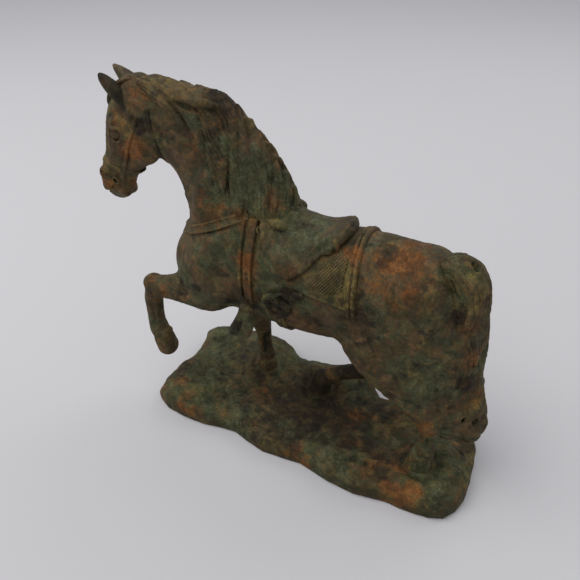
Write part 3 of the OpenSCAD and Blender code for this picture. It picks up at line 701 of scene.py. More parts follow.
RF = [[-72, 9, 116, -46, 9, 116, 12], [-68, 11, 100, -40, 11, 100, 12], [-60, 13, 84, -35.5, 13, 84, 9.5], [-54.5, 15, 72, -37.5, 15, 72, 7.5],
      [-53, 16.5, 60, -38.5, 16.5, 60, 6.3], [-51.5, 17, 50.5, -38.8, 17, 50.5, 6], [-48.7, 17, 42, -38.6, 17, 42, 4.7], [-47, 17, 32, -38, 17, 32, 4.3],
      [-47, 17, 25, -36.8, 17, 25, 5], [-46.5, 17, 20.5, -37.5, 17, 20, 4.6], [-47.8, 17, 17.5, -35.5, 17, 16.5, 6], [-49, 17, 8, -33.8, 17, 8, 7.2]]
LH = [[26, -8, 112, 70, -8, 112, 14], [19.5, -11, 98, 70, -11, 98, 12.5], [18.5, -13, 86, 70.5, -13, 88, 11], [28.5, -15, 73, 72, -15, 78, 9.5],
      [43.5, -16, 62.5, 73.5, -16, 70, 8], [55, -16.5, 55, 75, -16.5, 61.5, 6.4], [63, -17, 49.5, 78, -17, 54, 6], [67, -17, 45, 78.8, -17, 47.5, 5.8],
      [68, -17, 39.5, 77.7, -17, 40.5, 4.8], [68.6, -17, 33, 77.2, -17, 33, 4.3], [68, -17, 28.5, 78, -17, 29, 5], [67.5, -17, 25, 77, -17, 26, 4.6],
      [66, -17, 22, 78.8, -17, 22.5, 6], [63.5, -17, 11, 79.5, -17, 11, 7.4]]
RH = [[27, 8, 112, 68, 8, 112, 14], [25, 11, 98, 66, 11, 98, 12.5], [23, 13.5, 85, 60, 13.5, 82, 10.5], [27, 15, 72, 55, 15, 69, 8.5],
      [32, 16, 60, 51, 16, 56, 6.8], [36, 16.5, 53, 50, 16.5, 46, 6.2], [32, 16.5, 45.5, 40, 16.5, 37, 5], [20, 16.5, 39.5, 25, 16.5, 31, 4.6],
      [9, 16.5, 33, 14, 16.5, 25, 4.9], [1.8, 16.5, 28.5, 10, 16.5, 20.5, 5], [-3, 16.5, 24, 6, 16.5, 17, 4.8], [-6.3, 16.5, 20.5, 5, 16.5, 14.5, 6],
      [-10, 16.5, 9, 4.5, 16.5, 7, 7.2]]
TAIL = R_([(62.5, 138.5, 62, 127, 0, 6), (67, 141, 65, 125, 0, 8), (72, 141.2, 67, 121, 0, 10), (78, 138.5, 68, 116, 0, 11), (82, 131, 68.5, 110, 0, 11.5),
           (84, 121, 69, 104, 0, 12), (87, 108, 68.5, 97, 0, 12.5), (88.7, 92, 67.5, 87, 0, 13), (89.2, 79, 68, 76, 0, 13.5), (93, 67, 70, 64, 0, 13.5),
           (97, 56, 73.5, 52, 0, 13), (99.5, 46, 78, 41, 0, 12), (98.5, 37, 83.5, 34, 0, 8.5), (94.5, 31, 88, 30.5, 0, 4.5)])
MANE = [[-97, 2, 199, -97, -6, 194], [-84, 2.5, 200, -82, -8.5, 191], [-70, 2.5, 199, -69, -9.5, 187], [-57, 2.5, 197.5, -60, -10, 182],
        [-48, 2.5, 193, -54, -10.5, 174], [-40, 2.5, 185.5, -48, -11.5, 165], [-31, 2.5, 177.5, -42, -12.5, 156], [-23.5, 2.5, 168, -36, -13.5, 149],
        [-17.5, 2.5, 157, -30, -13, 144], [-14, 1.5, 147.5, -22, -10, 140.5]]
FORELOCK = [[-99, 0, 200.6, -98, 0, 194.5, 3.5], [-106, 0, 199.6, -104, 0, 193.5, 4], [-113, 0, 196, -110, 0, 190.5, 3.6], [-118.5, 0, 190.5, -115.5, 0, 186.5, 2.8],
            [-121.5, 0, 185, -118.5, 0, 182.5, 1.6]]
PLATE = [(-97, -8), (-99, -20), (-96, -31), (-87, -35.5), (-75, -37), (-60, -37), (-48, -34.5), (-38, -33.5), (-28, -36.5), (-16, -39), (-3, -38), (8, -37),
         (18, -39), (28, -41), (43, -42), (52, -40.5), (61, -39), (69, -39.5), (77, -39), (85, -38), (92, -35), (97, -28), (99.5, -20), (100, -8), (99.5, 4),
         (98, 16), (94, 27), (88, 34), (78, 37.5), (66, 36), (55, 34.5), (45, 34), (35, 36), (26, 42), (18, 46.5), (8, 46), (-2, 41.5), (-12, 40), (-20, 38.5),
         (-27, 39), (-35, 44), (-43, 47), (-54, 48), (-68, 47.5), (-79, 45.5), (-88, 43), (-95, 38), (-98, 29), (-95, 20), (-93.5, 12), (-94, 2)]
HOOFS = [(72, -17), (-41.5, 17), (-2.5, 16.5)]


# ------------------------------------------------------------------ the horse's body
def trunk(g, legs=True, muscles=True):
    sweep_into(g, TORSO, 0)
    sweep_into(g, NECK, 7)
    if legs:
        sweep_into(g, LF, 4.5)
        sweep_into(g, RF, 4.5)
        sweep_into(g, LH, 5)
        sweep_into(g, RH, 5)
    if not muscles:
        return
    for s in (-1, 1):
        add_ell(g, (-55, s * 16.5, 114), (12, 7.5, 24), 4, tilt(38))       # shoulder blade
        add_ell(g, (-68.5, s * 12.6, 101), (9, 8.5, 9), 4)                      # point of the shoulder
        add_ell(g, (-50, s * 18.6, 99), (12, 6.5, 11), 2.2, tilt(-20))      # triceps
        add_ell(g, (-74.5, s * 6.5, 92), (6.5, 6.5, 9), 2.0)                  # breast
        add_ell(g, (-60, s * 10.5, 140), (7, 5, 20), 5, tilt(12))            # side of the neck
        cut_ell(g, (-70.5, s * 15.0, 138), (2.2, 2.6, 14), 4.0, tilt(12))    # jugular groove
        add_ell(g, (43, s * 15.5, 124), (10, 7.5, 9), 5)                    # hip
        add_ell(g, (56, s * 10.5, 121), (14, 11, 15), 5)                    # croup
        add_ell(g, (61, s * 14.5, 100), (11, 8, 20), 3.0, tilt(6))          # back of the thigh
        cut_ell(g, (38, s * 29.5, 103), (8, 6, 14), 6, tilt(-18))           # flank hollow
        add_ell(g, (33, s * 17, 86), (8, 7, 10), 4)                         # stifle
    cut_ell(g, (46, 0, 144.5), (20, 2.0, 3.2), 3)                           # groove of the croup
    add_ell(g, (-28, 0, 138), (16, 8, 7), 4)                                # withers
    if legs:
        # near hind: gaskin, hock, tendons
        add_ell(g, (57, -17, 68), (8, 6.8, 12), 3, tilt(-22))
        add_ell(g, (76.3, -17, 54.5), (3.2, 3.0, 5.5), 2, tilt(-25))
        cut_ell(g, (73.0, -22.6, 60), (2, 2.0, 8), 2.5, tilt(-20))
        cut_ell(g, (73.8, -22.2, 36), (1.3, 1.8, 7), 1.6)
        add_ell(g, (76.0, -17, 28), (2.4, 4.0, 3.2), 1.5)
        # raised fore: knee, tendons
        add_ell(g, (-98.0, -17, 86), (5.6, 6.2, 5.0), 2)
        add_ell(g, (-96.5, -17, 81.5), (5.8, 6.0, 4), 2)
        cut_ell(g, (-97.2, -22.6, 66), (1.3, 1.6, 10), 1.6)
        cut_ell(g, (-80, -23.4, 86), (9, 1.4, 1.6), 3, tilt(-20))
        add_ell(g, (-93.6, -17, 49), (2.4, 4.2, 3.2), 1.5)
        # planted fore
        add_ell(g, (-46, 17, 52.5), (6.4, 6.2, 6), 2)
        cut_ell(g, (-40.8, 21.2, 36), (1.2, 1.6, 8), 1.5)
        cut_ell(g, (-40.8, 12.8, 36), (1.2, 1.6, 8), 1.5)
        add_ell(g, (-38.2, 17, 25), (2.4, 4.0, 3), 1.5)
        # far hind
        add_ell(g, (46.5, 16.5, 49.5), (4.6, 4.6, 4.4), 2)
        add_ell(g, (9, 16.5, 21.5), (3, 4.0, 2.6), 1.5)
        add_ell(g, (-2.2, 16.5, 19.5), (4.6, 4.6, 6.0), 1.5)


def hoof_line(g, c, r, R, k=0.7):
    cut_ell(g, c, r, k, R)


hb = 0.60 * K
gb = Grid((-112, -31, 5), (80, 31, 200.5), hb)
trunk(gb)
# the head's start, so that the neck runs on under the bridle
sweep_into(gb, HEAD, 5)
for s in (-1, 1):
    add_ell(gb, (-100.5, s * 5.4, 168.5), (13.5, 5.0, 14), 1.5)
    cut_ell(gb, (-84.6, s * 11.2, 168), (1.8, 2.6, 12), 1.6, tilt(12))
HC, HN = np.array([-89.0, 0, 170.0]), np.array([0.9945, 0, 0.1045])
sl, X, Y, Z = gb.all()
dh = (X - HC[0]) * HN[0] + (Z - HC[2]) * HN[2]
gb.f = np.maximum(gb.f, np.where(Z > 120, -0.9 - dh, -9).astype(np.float32) + 0 * Y)
body = extract(gb, 2, 0.16)
v, q, N, cav = body
cen = v[q].mean(1)
x, y, z = cen.T
lab = np.zeros(len(q), int)
lab[(z > 120 + 0.382 * (x + 80)) & (x < -10)] = 1
lab[(y < -4) & (x < -42) & (z < 100 - 0.42 * (x + 90)) & (lab == 0)] = 2
lab[(y > 4) & (x > -66) & (x < -30) & (z < 84)] = 3
lab[(y < -3) & (x > 16) & (z < 86)] = 4
lab[(((y > 3) & (x > 16)) | ((y > 5) & (x > -14) & (z < 60))) & (z < 86) & (x > -14)] = 5
for i, nm in enumerate(["torso", "neck", "left_foreleg", "right_foreleg", "left_hind_leg", "right_hind_leg"]):
    make("bronze_" + nm, cut_out(body, lab == i), "bronze_body", [nm], (0, 0, 0, 0))
del gb

# ------------------------------------------------------------------ head
gh = Grid((-144, -15.5, 122), (-74, 15.5, 205), 0.33 * K)
HEADV = HEAD[:-2] + [[-137, 0, 138, -117, 0, 133.2, 6.0], [-134, 0, 132.4, -120, 0, 131.0, 4.2]]
sweep_into(gh, HEADV, 0)
sweep_into(gh, NECK, 5)
for s in (-1, 1):
    add_ell(gh, (-100.5, s * 5.4, 168.5), (13.5, 5.0, 14), 1.5)              # cheek disc
    cut_ell(gh, (-84.6, s * 11.2, 168), (1.8, 2.6, 12), 1.6, tilt(12))       # crease behind it
    cut_ell(gh, (-95.2, s * 11.4, 178.9), (3.8, 3.2, 3.0), 0.7)              # pit above it
    add_ell(gh, (-111.5, s * 7.4, 177.4), (2.4, 2.8, 6.4), 1.2, tilt(72))    # brow
    cut_ell(gh, (-106.5, s * 11.6, 184), (4.5, 3.2, 4.5), 3)                 # temple hollow
    cut_ell(gh, (-112.6, s * 11.0, 170.8), (5.6, 3.4, 4.2), 0.9, tilt(20))   # socket
    add_ell(gh, (-108.6, s * 5.6, 171.5), (9.5, 5.0, 8.6), 1.4)              # orbit
    cut_ell(gh, (-113.0, s * 11.2, 170.2), (4.6, 3.4, 3.6), 0.7)
    add_ell(gh, (-113.2, s * 7.8, 170.0), (3.6, 3.0, 3.0), 0.2)              # eye
    add_torus(gh, (-112.8, s * 9.4, 170.2), (-0.12, s * 1.0, 0.25), 4.3, 0.7, 0.4, 1.12)
    add_torus(gh, (-112.2, s * 9.0, 170.9), (-0.12, s * 1.0, 0.25), 5.5, 0.45, 0.7, 1.2)
    add_ell(gh, (-112.6, s * 9.6, 173.6), (1.2, 1.6, 5.2), 0.4, tilt(82))    # upper lid
    add_ell(gh, (-118.5, s * 6.4, 158.5), (1.5, 1.7, 9), 1.8, tilt(35))      # facial crest
    cut_ell(gh, (-111.5, s * 9.9, 154), (2.0, 2.6, 8), 3.0, tilt(38))
    add_ell(gh, (-129.4, s * 4.6, 143.6), (4.6, 3.0, 4.4), 1.6, tilt(50))    # nostril wing
    cut_ell(gh, (-130.0, s * 7.5, 144.2), (1.5, 2.1, 3.4), 0.6, tilt(-62))   # nostril
    cut_ell(gh, (-127.4, s * 7.7, 140.4), (0.8, 1.2, 4.4), 0.6, tilt(-62))
    cut_ell(gh, (-125.6, s * 7.6, 136.4), (0.75, 2.4, 4.6), 0.5, tilt(45))   # mouth
    cut_ell(gh, (-117.5, s * 7.4, 140.4), (0.8, 1.9, 6.0), 0.7, tilt(76))
    add_ell(gh, (-130.6, s * 3.0, 135.6), (3.6, 3.6, 4.2), 1.2, tilt(-30))   # upper lip
    add_ell(gh, (-120.6, s * 2.7, 135.4), (5.2, 3.2, 4.2), 1.6, tilt(50))    # chin
    add_torus(gh, (-121.4, s * 7.0, 141.6), (0, 1, 0.15), 2.0, 0.55, 0.4)    # bit ring
add_ell(gh, (-125.0, 0, 132.0), (4.6, 4.0, 2.6), 0.8, tilt(-8))               # lower lip
cut_ell(gh, (-131.0, 0, 132.6), (3.4, 7.5, 0.8), 0.6, tilt(-20))
cut_ell(gh, (-108, 0, 150.5), (3.0, 2.2, 12), 2.5, tilt(58))                 # hollow between the jaws
sl, X, Y, Z = gh.all()
gh.f = np.maximum(gh.f, (((X - HC[0]) * HN[0] + (Z - HC[2]) * HN[2]) + 0 * Y - 0.9).astype(np.float32))
gh.f = np.maximum(gh.f, np.where(Z < 158, X + 84 + 0 * Z, -9).astype(np.float32) + 0 * Y)
head_f = gh
make("bronze_head", extract(gh, 1, 0.10), "bronze_body", ["head"], (0.05, -0.05, 0, 0.08))

EARS = {-1: [[-102.5, -4.8, 190, -108.5, -4.8, 184, 3.6], [-105.6, -5.8, 193.2, -111.8, -5.8, 187.6, 4], [-109.5, -6.6, 196.2, -114.8, -6.6, 191.4, 3.8],
             [-113.2, -7.2, 198.7, -117.2, -7.2, 195.2, 2.8], [-115.8, -7.6, 199.9, -118, -7.6, 198, 1.4]],
        1: [[-101, 5, 193.5, -108, 5, 186.5, 3.8], [-106.5, 6, 196.6, -112, 6, 189.6, 4.2], [-112, 6.8, 198.6, -115.8, 6.8, 192.6, 3.8],
            [-117, 7.4, 200, -119, 7.4, 196.2, 2.8], [-120.4, 7.8, 200.6, -121.4, 7.8, 198.8, 1.3]]}
for s, nm in ((-1, "left_ear"), (1, "right_ear")):
    ge = Grid((-124, min(s * 0.5, s * 13), 182), (-99, max(s * 0.5, s * 13), 203), 0.26 * K)
    sweep_into(ge, EARS[s], 0)
    e = np.array(EARS[s][2])
    cut_ell(ge, (e[3] - 0.9, s * 7.6, e[5] + 0.3), (1.5, 1.7, 5.6), 0.8, tilt(-42 if s < 0 else -58))
    make("bronze_" + nm, extract(ge, 1, 0.06), "bronze_dark", [nm], (0, 0, 0.85, 0) if s < 0 else (0.30, 0, 0, 0.15))

# ------------------------------------------------------------------ bridle
def shell(src, t, mask, r=0.5, inner=-0.7, ridge=None):
    g = src.copy()
    th = t if ridge is None else t + ridge
    g.f = smax((src.f - th).astype(np.float32), mask.astype(np.float32), r)
    g.f = np.maximum(g.f, -(src.f - inner))
    return g


gB = Grid((-142, -15.5, 124), (-74, 15.5, 205), 0.36 * K)
sweep_into(gB, HEAD, 0)
sweep_into(gB, NECK, 5)
for s in (-1, 1):
    add_ell(gB, (-100.5, s * 5.4, 168.5), (13.5, 5.0, 14), 1.5)
    add_ell(gB, (-129.4, s * 4.6, 143.6), (4.6, 3.0, 4.4), 1.6, tilt(50))
sl, X, Y, Z = gB.all()
one = 0 * X + 0 * Y + 0 * Z
d1 = (X - HC[0]) * HN[0] + (Z - HC[2]) * HN[2] + 0 * Y
make("bronze_throatlatch", extract(shell(gB, 0.6, np.maximum(np.abs(d1) - 1.3, np.maximum(Z - 186.5, X + 84))), 1, 0.08), "bronze_dark", ["throatlatch"], (0.0, 0, 0.6, 0.0))
ax_, az_ = math.sin(math.radians(29)), math.cos(math.radians(29))
d2 = (X + 108) * az_ - (Z - 160.5) * ax_ + 0 * Y
u2 = (X + 108) * ax_ + (Z - 160.5) * az_
for s, nm in ((-1, "left_cheek_strap"), (1, "right_cheek_strap")):
    mk = np.maximum(np.maximum(np.abs(d2) - 1.1, np.abs(u2) - 20.5), 3.0 - s * Y)
    make("bronze_" + nm, extract(shell(gB, 0.5, mk), 1, 0.08), "bronze_dark", [nm], (0.15, 0, 0.15, 0.05))
d3 = (X + 120) * math.sin(math.radians(10)) + (Z - 149.2) * math.cos(math.radians(10)) + 0 * Y
make("bronze_noseband", extract(shell(gB, 0.5, np.abs(d3) - 1.3), 1, 0.08), "bronze_dark", ["noseband"], (0.1, 0, 0.05, 0.2))
del gB, gh, head_f

# ------------------------------------------------------------------ hair
rng = np.random.default_rng(7)


def lock_rows(path, r, flat=0.75, up=(0, 0, 1)):
    """rib rows of a round-ish lock along a path of points with radii r"""
    P = np.array(path, float)
    T = np.gradient(P, axis=0)
    T /= np.linalg.norm(T, axis=1)[:, None]
    out = []
    for p, t, rr in zip(P, T, r):
        a = np.array(up, float) - t * (t @ np.array(up, float))
        a /= np.linalg.norm(a) + 1e-9
        out.append([*(p + a * rr * flat), *(p - a * rr * flat), rr])
    return out


MC = catmull([r + [1] for r in MANE], 6)
def mane_at(u, w):
    """point on the mane's cover: u along the crest, w from the crest line (0) down to the lower edge (1)"""
    i = np.clip(u, 0, 1) * (len(MC) - 1)
    k = int(min(np.floor(i), len(MC) - 2))
    r = MC[k] + (MC[k + 1] - MC[k]) * (i - k)
    A, B = r[:3], r[3:6]
    mid = (A + B) / 2 + np.array([0, -2.4, 1.6])
    return (1 - w) ** 2 * A + 2 * w * (1 - w) * mid + w * w * B - np.array([0, 0, 2.4 * max(0, 1 - 1.6 * w)])


gm = Grid((-112, -22, 132), (-8, 10, 206.5), 0.40 * K)
sweep_into(gm, [[r[0], r[1], r[2] - 1.8] + r[3:] + [2.4] for r in MANE], 0)
for i in range(34):
    u = -0.10 + 1.02 * (i + 0.5) / 34 + 0.01 * rng.standard_normal()
    du = 0.20 + 0.12 * rng.random()
    w0, w1 = ((-0.05, 0.55), (0.15, 0.85), (0.45, 1.08))[i % 3]
    w1 += 0.12 * rng.random()
    n = 10
    tt = np.linspace(0, 1, n)
    amp = 0.03 + 0.03 * rng.random()
    ph = rng.random() * 6.28
    pts = [mane_at(min(1, max(0, u + du * t)), w0 + (w1 - w0) * t ** 1.15 + amp * math.sin(ph + 6 * t)) for t in tt]
    lift = 0.2 + 1.0 * rng.random()
    pts = [p + np.array([0.0, -lift * math.sin(3.14 * min(1, t)) - 0.5, 0.0]) for p, t in zip(pts, tt)]
    rad = (2.9 + 1.4 * rng.random()) * np.sin(np.pi * np.clip(0.14 + 0.80 * tt, 0, 0.97)) ** 0.7
    sweep_into(gm, lock_rows(pts, rad, 0.62, (0, 1, 0.3)), 1.1, sub=2)
# the lock lifted off the crest near the poll
sweep_into(gm, lock_rows([(-76, -5, 194.8), (-70, -7.4, 193.8), (-64, -8.6, 193.2), (-57, -8.2, 193.6), (-51, -6.5, 192.6)], [1.6, 2.7, 2.9, 2.6, 1.4], 0.8, (0, 1, 0.3)), 0.9)
cut_ell(gm, (-66, -10.4, 191.6), (7.5, 1.8, 1.3), 1.0, tilt(8))
for i in range(14):  # roots on the far side of the crest
    u = (i + 0.5) / 14
    A = mane_at(u, 0)
    B = mane_at(min(1, u + 0.06), 0)
    pts = [A + np.array([-1.5, -1.5, 0.2]), A + np.array([0, 1.2, -0.4]), B + np.array([0.5, 3.0, -4.0]), B + np.array([1.5, 4.2, -8.5])]
    sweep_into(gm, lock_rows(pts, [1.6, 2.6, 2.4, 0.9], 0.6, (0, 1, 0.3)), 1.2, sub=3)
make("bronze_mane", strands(extract(gm, 1, 0.14), MC[:, :3], 2.5, 0.30, 0.30), "bronze_rust", ["mane"], (0.02, 0.10, -0.04, -0.04))
del gm

gf = Grid((-126, -9, 180), (-92, 9, 205), 0.33 * K)
sweep_into(gf, [r[:2] + [r[2] - 2.2] + r[3:5] + [r[5] - 1.5, r[6]] for r in FORELOCK], 0)
for i in range(7):
    s = (i - 3) / 3
    pts = [(-98, 1.5 * s, 197.8), (-104, 3.0 * s, 198.0), (-110, 3.7 * s, 195.0), (-115.5, 3.4 * s, 190.5), (-119.5, 2.4 * s, 185.5), (-121.5, 1.0 * s + 0.6, 180.5)]
    sweep_into(gf, lock_rows(pts, [1.3, 1.7, 1.8, 1.6, 1.2, 0.5], 0.8, (-0.5, 0, 0.8)), 0.6, ridge=5, amp=0.08, sub=3)
make("bronze_forelock", extract(gf, 1, 0.06), "bronze_rust", ["forelock"], (0.1, 0, 0, 0.15))
del gf

TC = catmull(TAIL, 6)
def tail_at(u, ang, k):
    i = np.clip(u, 0, 1) * (len(TC) - 1)
    j = int(min(np.floor(i), len(TC) - 2))
    r = TC[j] + (TC[j + 1] - TC[j]) * (i - j)
    c, a = (r[:3] + r[3:6]) / 2, (r[:3] - r[3:6]) / 2
    return c + k * (a * math.sin(ang) + np.array([0, 1.0, 0]) * r[6] * math.cos(ang))


gt = Grid((54, -21, 24), (105, 17.5, 147), 0.45 * K)
sweep_into(gt, TAIL, 0, grow=-1.2)
for i in range(30):
    a0 = 2 * math.pi * (i % 15) / 15 + 0.12 * rng.standard_normal()
    u0 = 0.02 if i < 15 else 0.34 + 0.25 * rng.random()
    u1 = u0 + (0.50 + 0.15 * rng.random()) if i < 15 else 0.92 + 0.07 * rng.random()
    tt = np.linspace(0, 1, 16)
    ph, fr = rng.random() * 6.28, 9 + 3 * rng.random()
    wob = 0.22 + 0.12 * rng.random()
    pts = [tail_at(u0 + (u1 - u0) * t, a0 + 0.35 * t + wob * math.sin(ph + fr * t), 0.74 + 0.06 * math.sin(ph * 2 + 6 * t)) for t in tt]
    rad = (3.2 + 1.2 * rng.random()) * np.sin(np.pi * np.clip(0.14 + 0.80 * tt, 0, 0.965)) ** 0.6
    sweep_into(gt, lock_rows(pts, rad, 0.75, (0, 1, 0.01) if abs(math.sin(a0)) > 0.7 else (1, 0, 0.01)), 1.2, sub=2)
# web that ties the tail to the near leg and hock
sweep_into(gt, [[67, -14.5, 100, 80, -10, 100, 3.2], [67.5, -15, 88, 80, -10, 88, 3.6], [69, -15.5, 76, 81, -10, 76, 3.8], [71, -16, 65, 83, -10, 65, 3.8],
                [74, -16.5, 54, 86, -10, 54, 3.4], [76.5, -15.5, 45, 87, -9, 43, 2.8], [79, -13.5, 38, 87, -9, 37, 1.8]], 3.0)
cut_ell(gt, (87.5, -12.0, 80), (1.8, 2.2, 2.0), 0.8)
cut_ell(gt, (73.5, -11.5, 117), (1.8, 1.8, 1.4), 0.8)
for k in range(26):  # lumps and pits of matted hair
    u, a = 0.05 + 0.9 * rng.random(), 6.28 * rng.random()
    p = tail_at(u, a, 0.93)
    (add_ell if k % 3 else cut_ell)(gt, p, np.array([1.6 + 1.6 * rng.random(), 1.6 + 1.2 * rng.random(), 2.2 + 2.5 * rng.random()]) * (1 if k % 3 else 0.55), 1.8)
make("bronze_tail", strands(extract(gt, 1, 0.2), (TC[:, :3] + TC[:, 3:6]) / 2, 3.0, 0.42, None, 2.6), "bronze_rust", ["tail"], (0.06, 0.02, 0.0, 0.02))
del gt

# ------------------------------------------------------------------ saddle and tack
gs = Grid((-36, -34, 96), (32, 34, 152), 0.42 * K)
trunk(gs, legs=False)
sl, X, Y, Z = gs.all()
xx, zz = X[:, 0, 0][:, None], Z[0, 0, :][None, :]


def flat(poly):
    return poly_sdf(xx, zz, poly)[:, None, :] + 0 * Y


SADDLE = [(-24.5, 136), (-20, 125), (-15, 121), (-6, 119.5), (1.5, 125), (6, 131), (10.5, 135.5), (14, 138.5), (18, 141), (18, 153), (-25, 153), (-26, 141)]
ps = flat(SADDLE)
sad = shell(gs, 3.2, ps, 2.2, 0.0, ridge=0.9 * np.clip(-ps / 8, 0, 1))
sweep_into(sad, [[-21, 0, 142.5, -21, 0, 130, 10], [-12, 0, 142.6, -12, 0, 130, 13], [-4, 0, 141.0, -4, 0, 130, 14], [3, 0, 141.0, 3, 0, 131, 14],
                 [9, 0, 143.2, 9, 0, 133, 13.5], [13.5, 0, 145.2, 12.5, 0, 136, 12], [15.8, 0, 145.2, 14, 0, 139, 10]], 3.0)
sweep_into(sad, [[12.5, -14.5, 138.0, 8.0, -14, 133.5, 1.7], [15.2, -10, 142.4, 11, -10, 136, 1.9], [16.6, 0, 145.8, 12, 0, 137.5, 2.0], [15.2, 10, 142.4, 11, 10, 136, 1.9], [12.5, 14.5, 138.0, 8.0, 14, 133.5, 1.7]], 1.6)
cut_ell(sad, (4, 0, 145.0), (9, 10, 2.6), 3)
for s in (-1, 1):  # pommel roll, tabs and the coil at the front
    sweep_into(sad, [[-25.5, s * 13.5, 139, -25.5, s * 13.5, 133, 1.8], [-23, s * 12, 142.5, -21, s * 12, 136.5, 2.2], [-18.5, s * 11.5, 143.0, -17.5, s * 11, 137, 2.2], [-14, s * 11, 142, -14, s * 11, 137, 1.0]], 1.4)
    for k in range(5):
        add_torus(sad, (-25.6 + 1.5 * k, s * (14.6 - 0.8 * k), 137.6 + 0.9 * k), (0.8, s * 0.1, 0.55), 2.1, 0.6, 0.35)
    add_ell(sad, (-22.5, s * 16.8, 134.5), (2.2, 1.6, 4.2), 0.8)
    add_ell(sad, (-17.0, s * 12.2, 142.2), (4.6, 2.6, 2.4), 1.0, tilt(15))
    add_ell(sad, (14.0, s * 13.0, 138.6), (3.4, 1.5, 1.3), 0.5, tilt(70))
make("bronze_saddle", extract(sad, 1, 0.18), "bronze_dark", ["saddle"], (0.04, 0.10, 0.0, 0.05))

BLANKET = [(-26, 151), (-26, 121), (-21, 117), (-6, 115.5), (6, 114.5), (25.5, 112.5), (22, 151)]
pb = flat(BLANKET)
bl = shell(gs, 1.5 - 0.8 * np.clip((0 - X) / 14, 0, 1), pb, 0.8, -0.8, ridge=0.6 * np.exp(-((pb + 0.9) / 0.7) ** 2) * np.clip((X + 6) / 10, 0, 1))
make("bronze_saddle_blanket", extract(bl, 1, 0.08), "bronze_green", ["saddle_blanket"], (0.02, 0.02, 0, 0.12))

# rolled binding: two cords and a valley between them
ca, sa = math.cos(math.radians(6.5)), math.sin(math.radians(6.5))
xb = (X - 25.2) * ca + (Z - 127.5) * sa + 0 * Y
zb = -(X - 25.2) * sa + (Z - 127.5) * ca + 0 * Y
prof = 0.9 * np.sqrt(np.maximum(1 - ((np.abs(xb) - 1.25) / 1.1) ** 2, 0)) + 1.0 + 0.12 * np.sin(zb * 1.9 + xb) + 0.35 * np.clip((zb - 2) / 14, 0, 1)
bind = shell(gs, 0.0, np.maximum(np.abs(xb) - 2.6, -19.0 - zb), 0.5, -0.6, ridge=prof)
make("bronze_blanket_binding", extract(bind, 1, 0.08), "bronze_rust", ["blanket_binding"], (0.12, 0.05, 0, 0.08))

LEATHER = [(-32, 143), (-27.5, 143), (-27.2, 120), (-26.5, 97.5), (-31, 97.5), (-31.7, 120)]
pl = flat(LEATHER)
edge = 0.32 * np.exp(-((pl + 0.6) / 0.45) ** 2)
stitch = 0.22 * np.maximum(0, np.sin(Z * 4.2)) * np.exp(-((pl + 1.4) / 0.35) ** 2)
for s, nm in ((-1, "left_stirrup_leather"), (1, "right_stirrup_leather")):
    le = shell(gs, 1.4, np.maximum(pl, 4.5 - s * Y), 0.6, -0.6, ridge=edge + stitch)
    make("bronze_" + nm, extract(le, 1, 0.08), "bronze_rust", [nm], (0.22, 0, 0, 0.06))
    fr = shell(gs, 1.1, np.maximum(np.abs(X + 34.2 + 0.02 * (Z - 120) + 0 * Y) - 0.9, np.maximum(5 - s * Y, 100.5 - Z)), 0.5, -0.6)
    make("bronze_front_cord_" + ("left" if s < 0 else "right"), extract(fr, 1, 0.05), "bronze_rust", (), (0.05, 0.15, 0, 0.05))
del bl, sad, bind

# cross-hatched panels at the rear of the blanket
WP = 1.18  # pitch of the weave


def weave(v):
    u_ = np.abs(np.sin(math.pi * (v[:, 0] * 0.62 + v[:, 2] * 0.78) / WP))
    w_ = np.abs(np.sin(math.pi * (-v[:, 0] * 0.78 + v[:, 2] * 0.62) / WP))
    h_ = (u_ * w_) ** 0.6
    add = np.stack([0 * h_, 0.15 + 0 * h_, np.clip(0.95 - 1.9 * h_, 0, 1), np.clip(h_ - 0.45, 0, 1) * 1.1], 1)
    return add, np.array([0.5, 0.6, 0.25, 0.35])


GRIDP = [(15.5, 136.8), (21.3, 135.0), (21.8, 121.5), (10.0, 116.6), (5.8, 121.0), (10.5, 130.5)]
for s, nm in ((-1, "left"), (1, "right")):
    gw = Grid((3, min(s * 8, s * 29), 113), (25, max(s * 8, s * 29), 140), 0.235 * K)
    trunk(gw, legs=False)
    sl2, X2, Y2, Z2 = gw.all()
    pg = poly_sdf(X2[:, 0, 0][:, None], Z2[0, 0, :][None, :], GRIDP)[:, None, :] + 0 * Y2
    uu = (X2 * 0.62 + Z2 * 0.78) / WP
    vv = (-X2 * 0.78 + Z2 * 0.62) / WP
    pat = 0.55 * (np.abs(np.sin(math.pi * uu)) * np.abs(np.sin(math.pi * vv))) ** 0.6 + 0 * Y2
    wv = shell(gw, 1.75, pg, 0.4, 0.9, ridge=pat)
    make("bronze_woven_panel_" + nm, extract(wv, 0, 0.02), "bronze_green", (), (0.0, 0.0, 0.0, 0.0), weave)
    del gw, wv

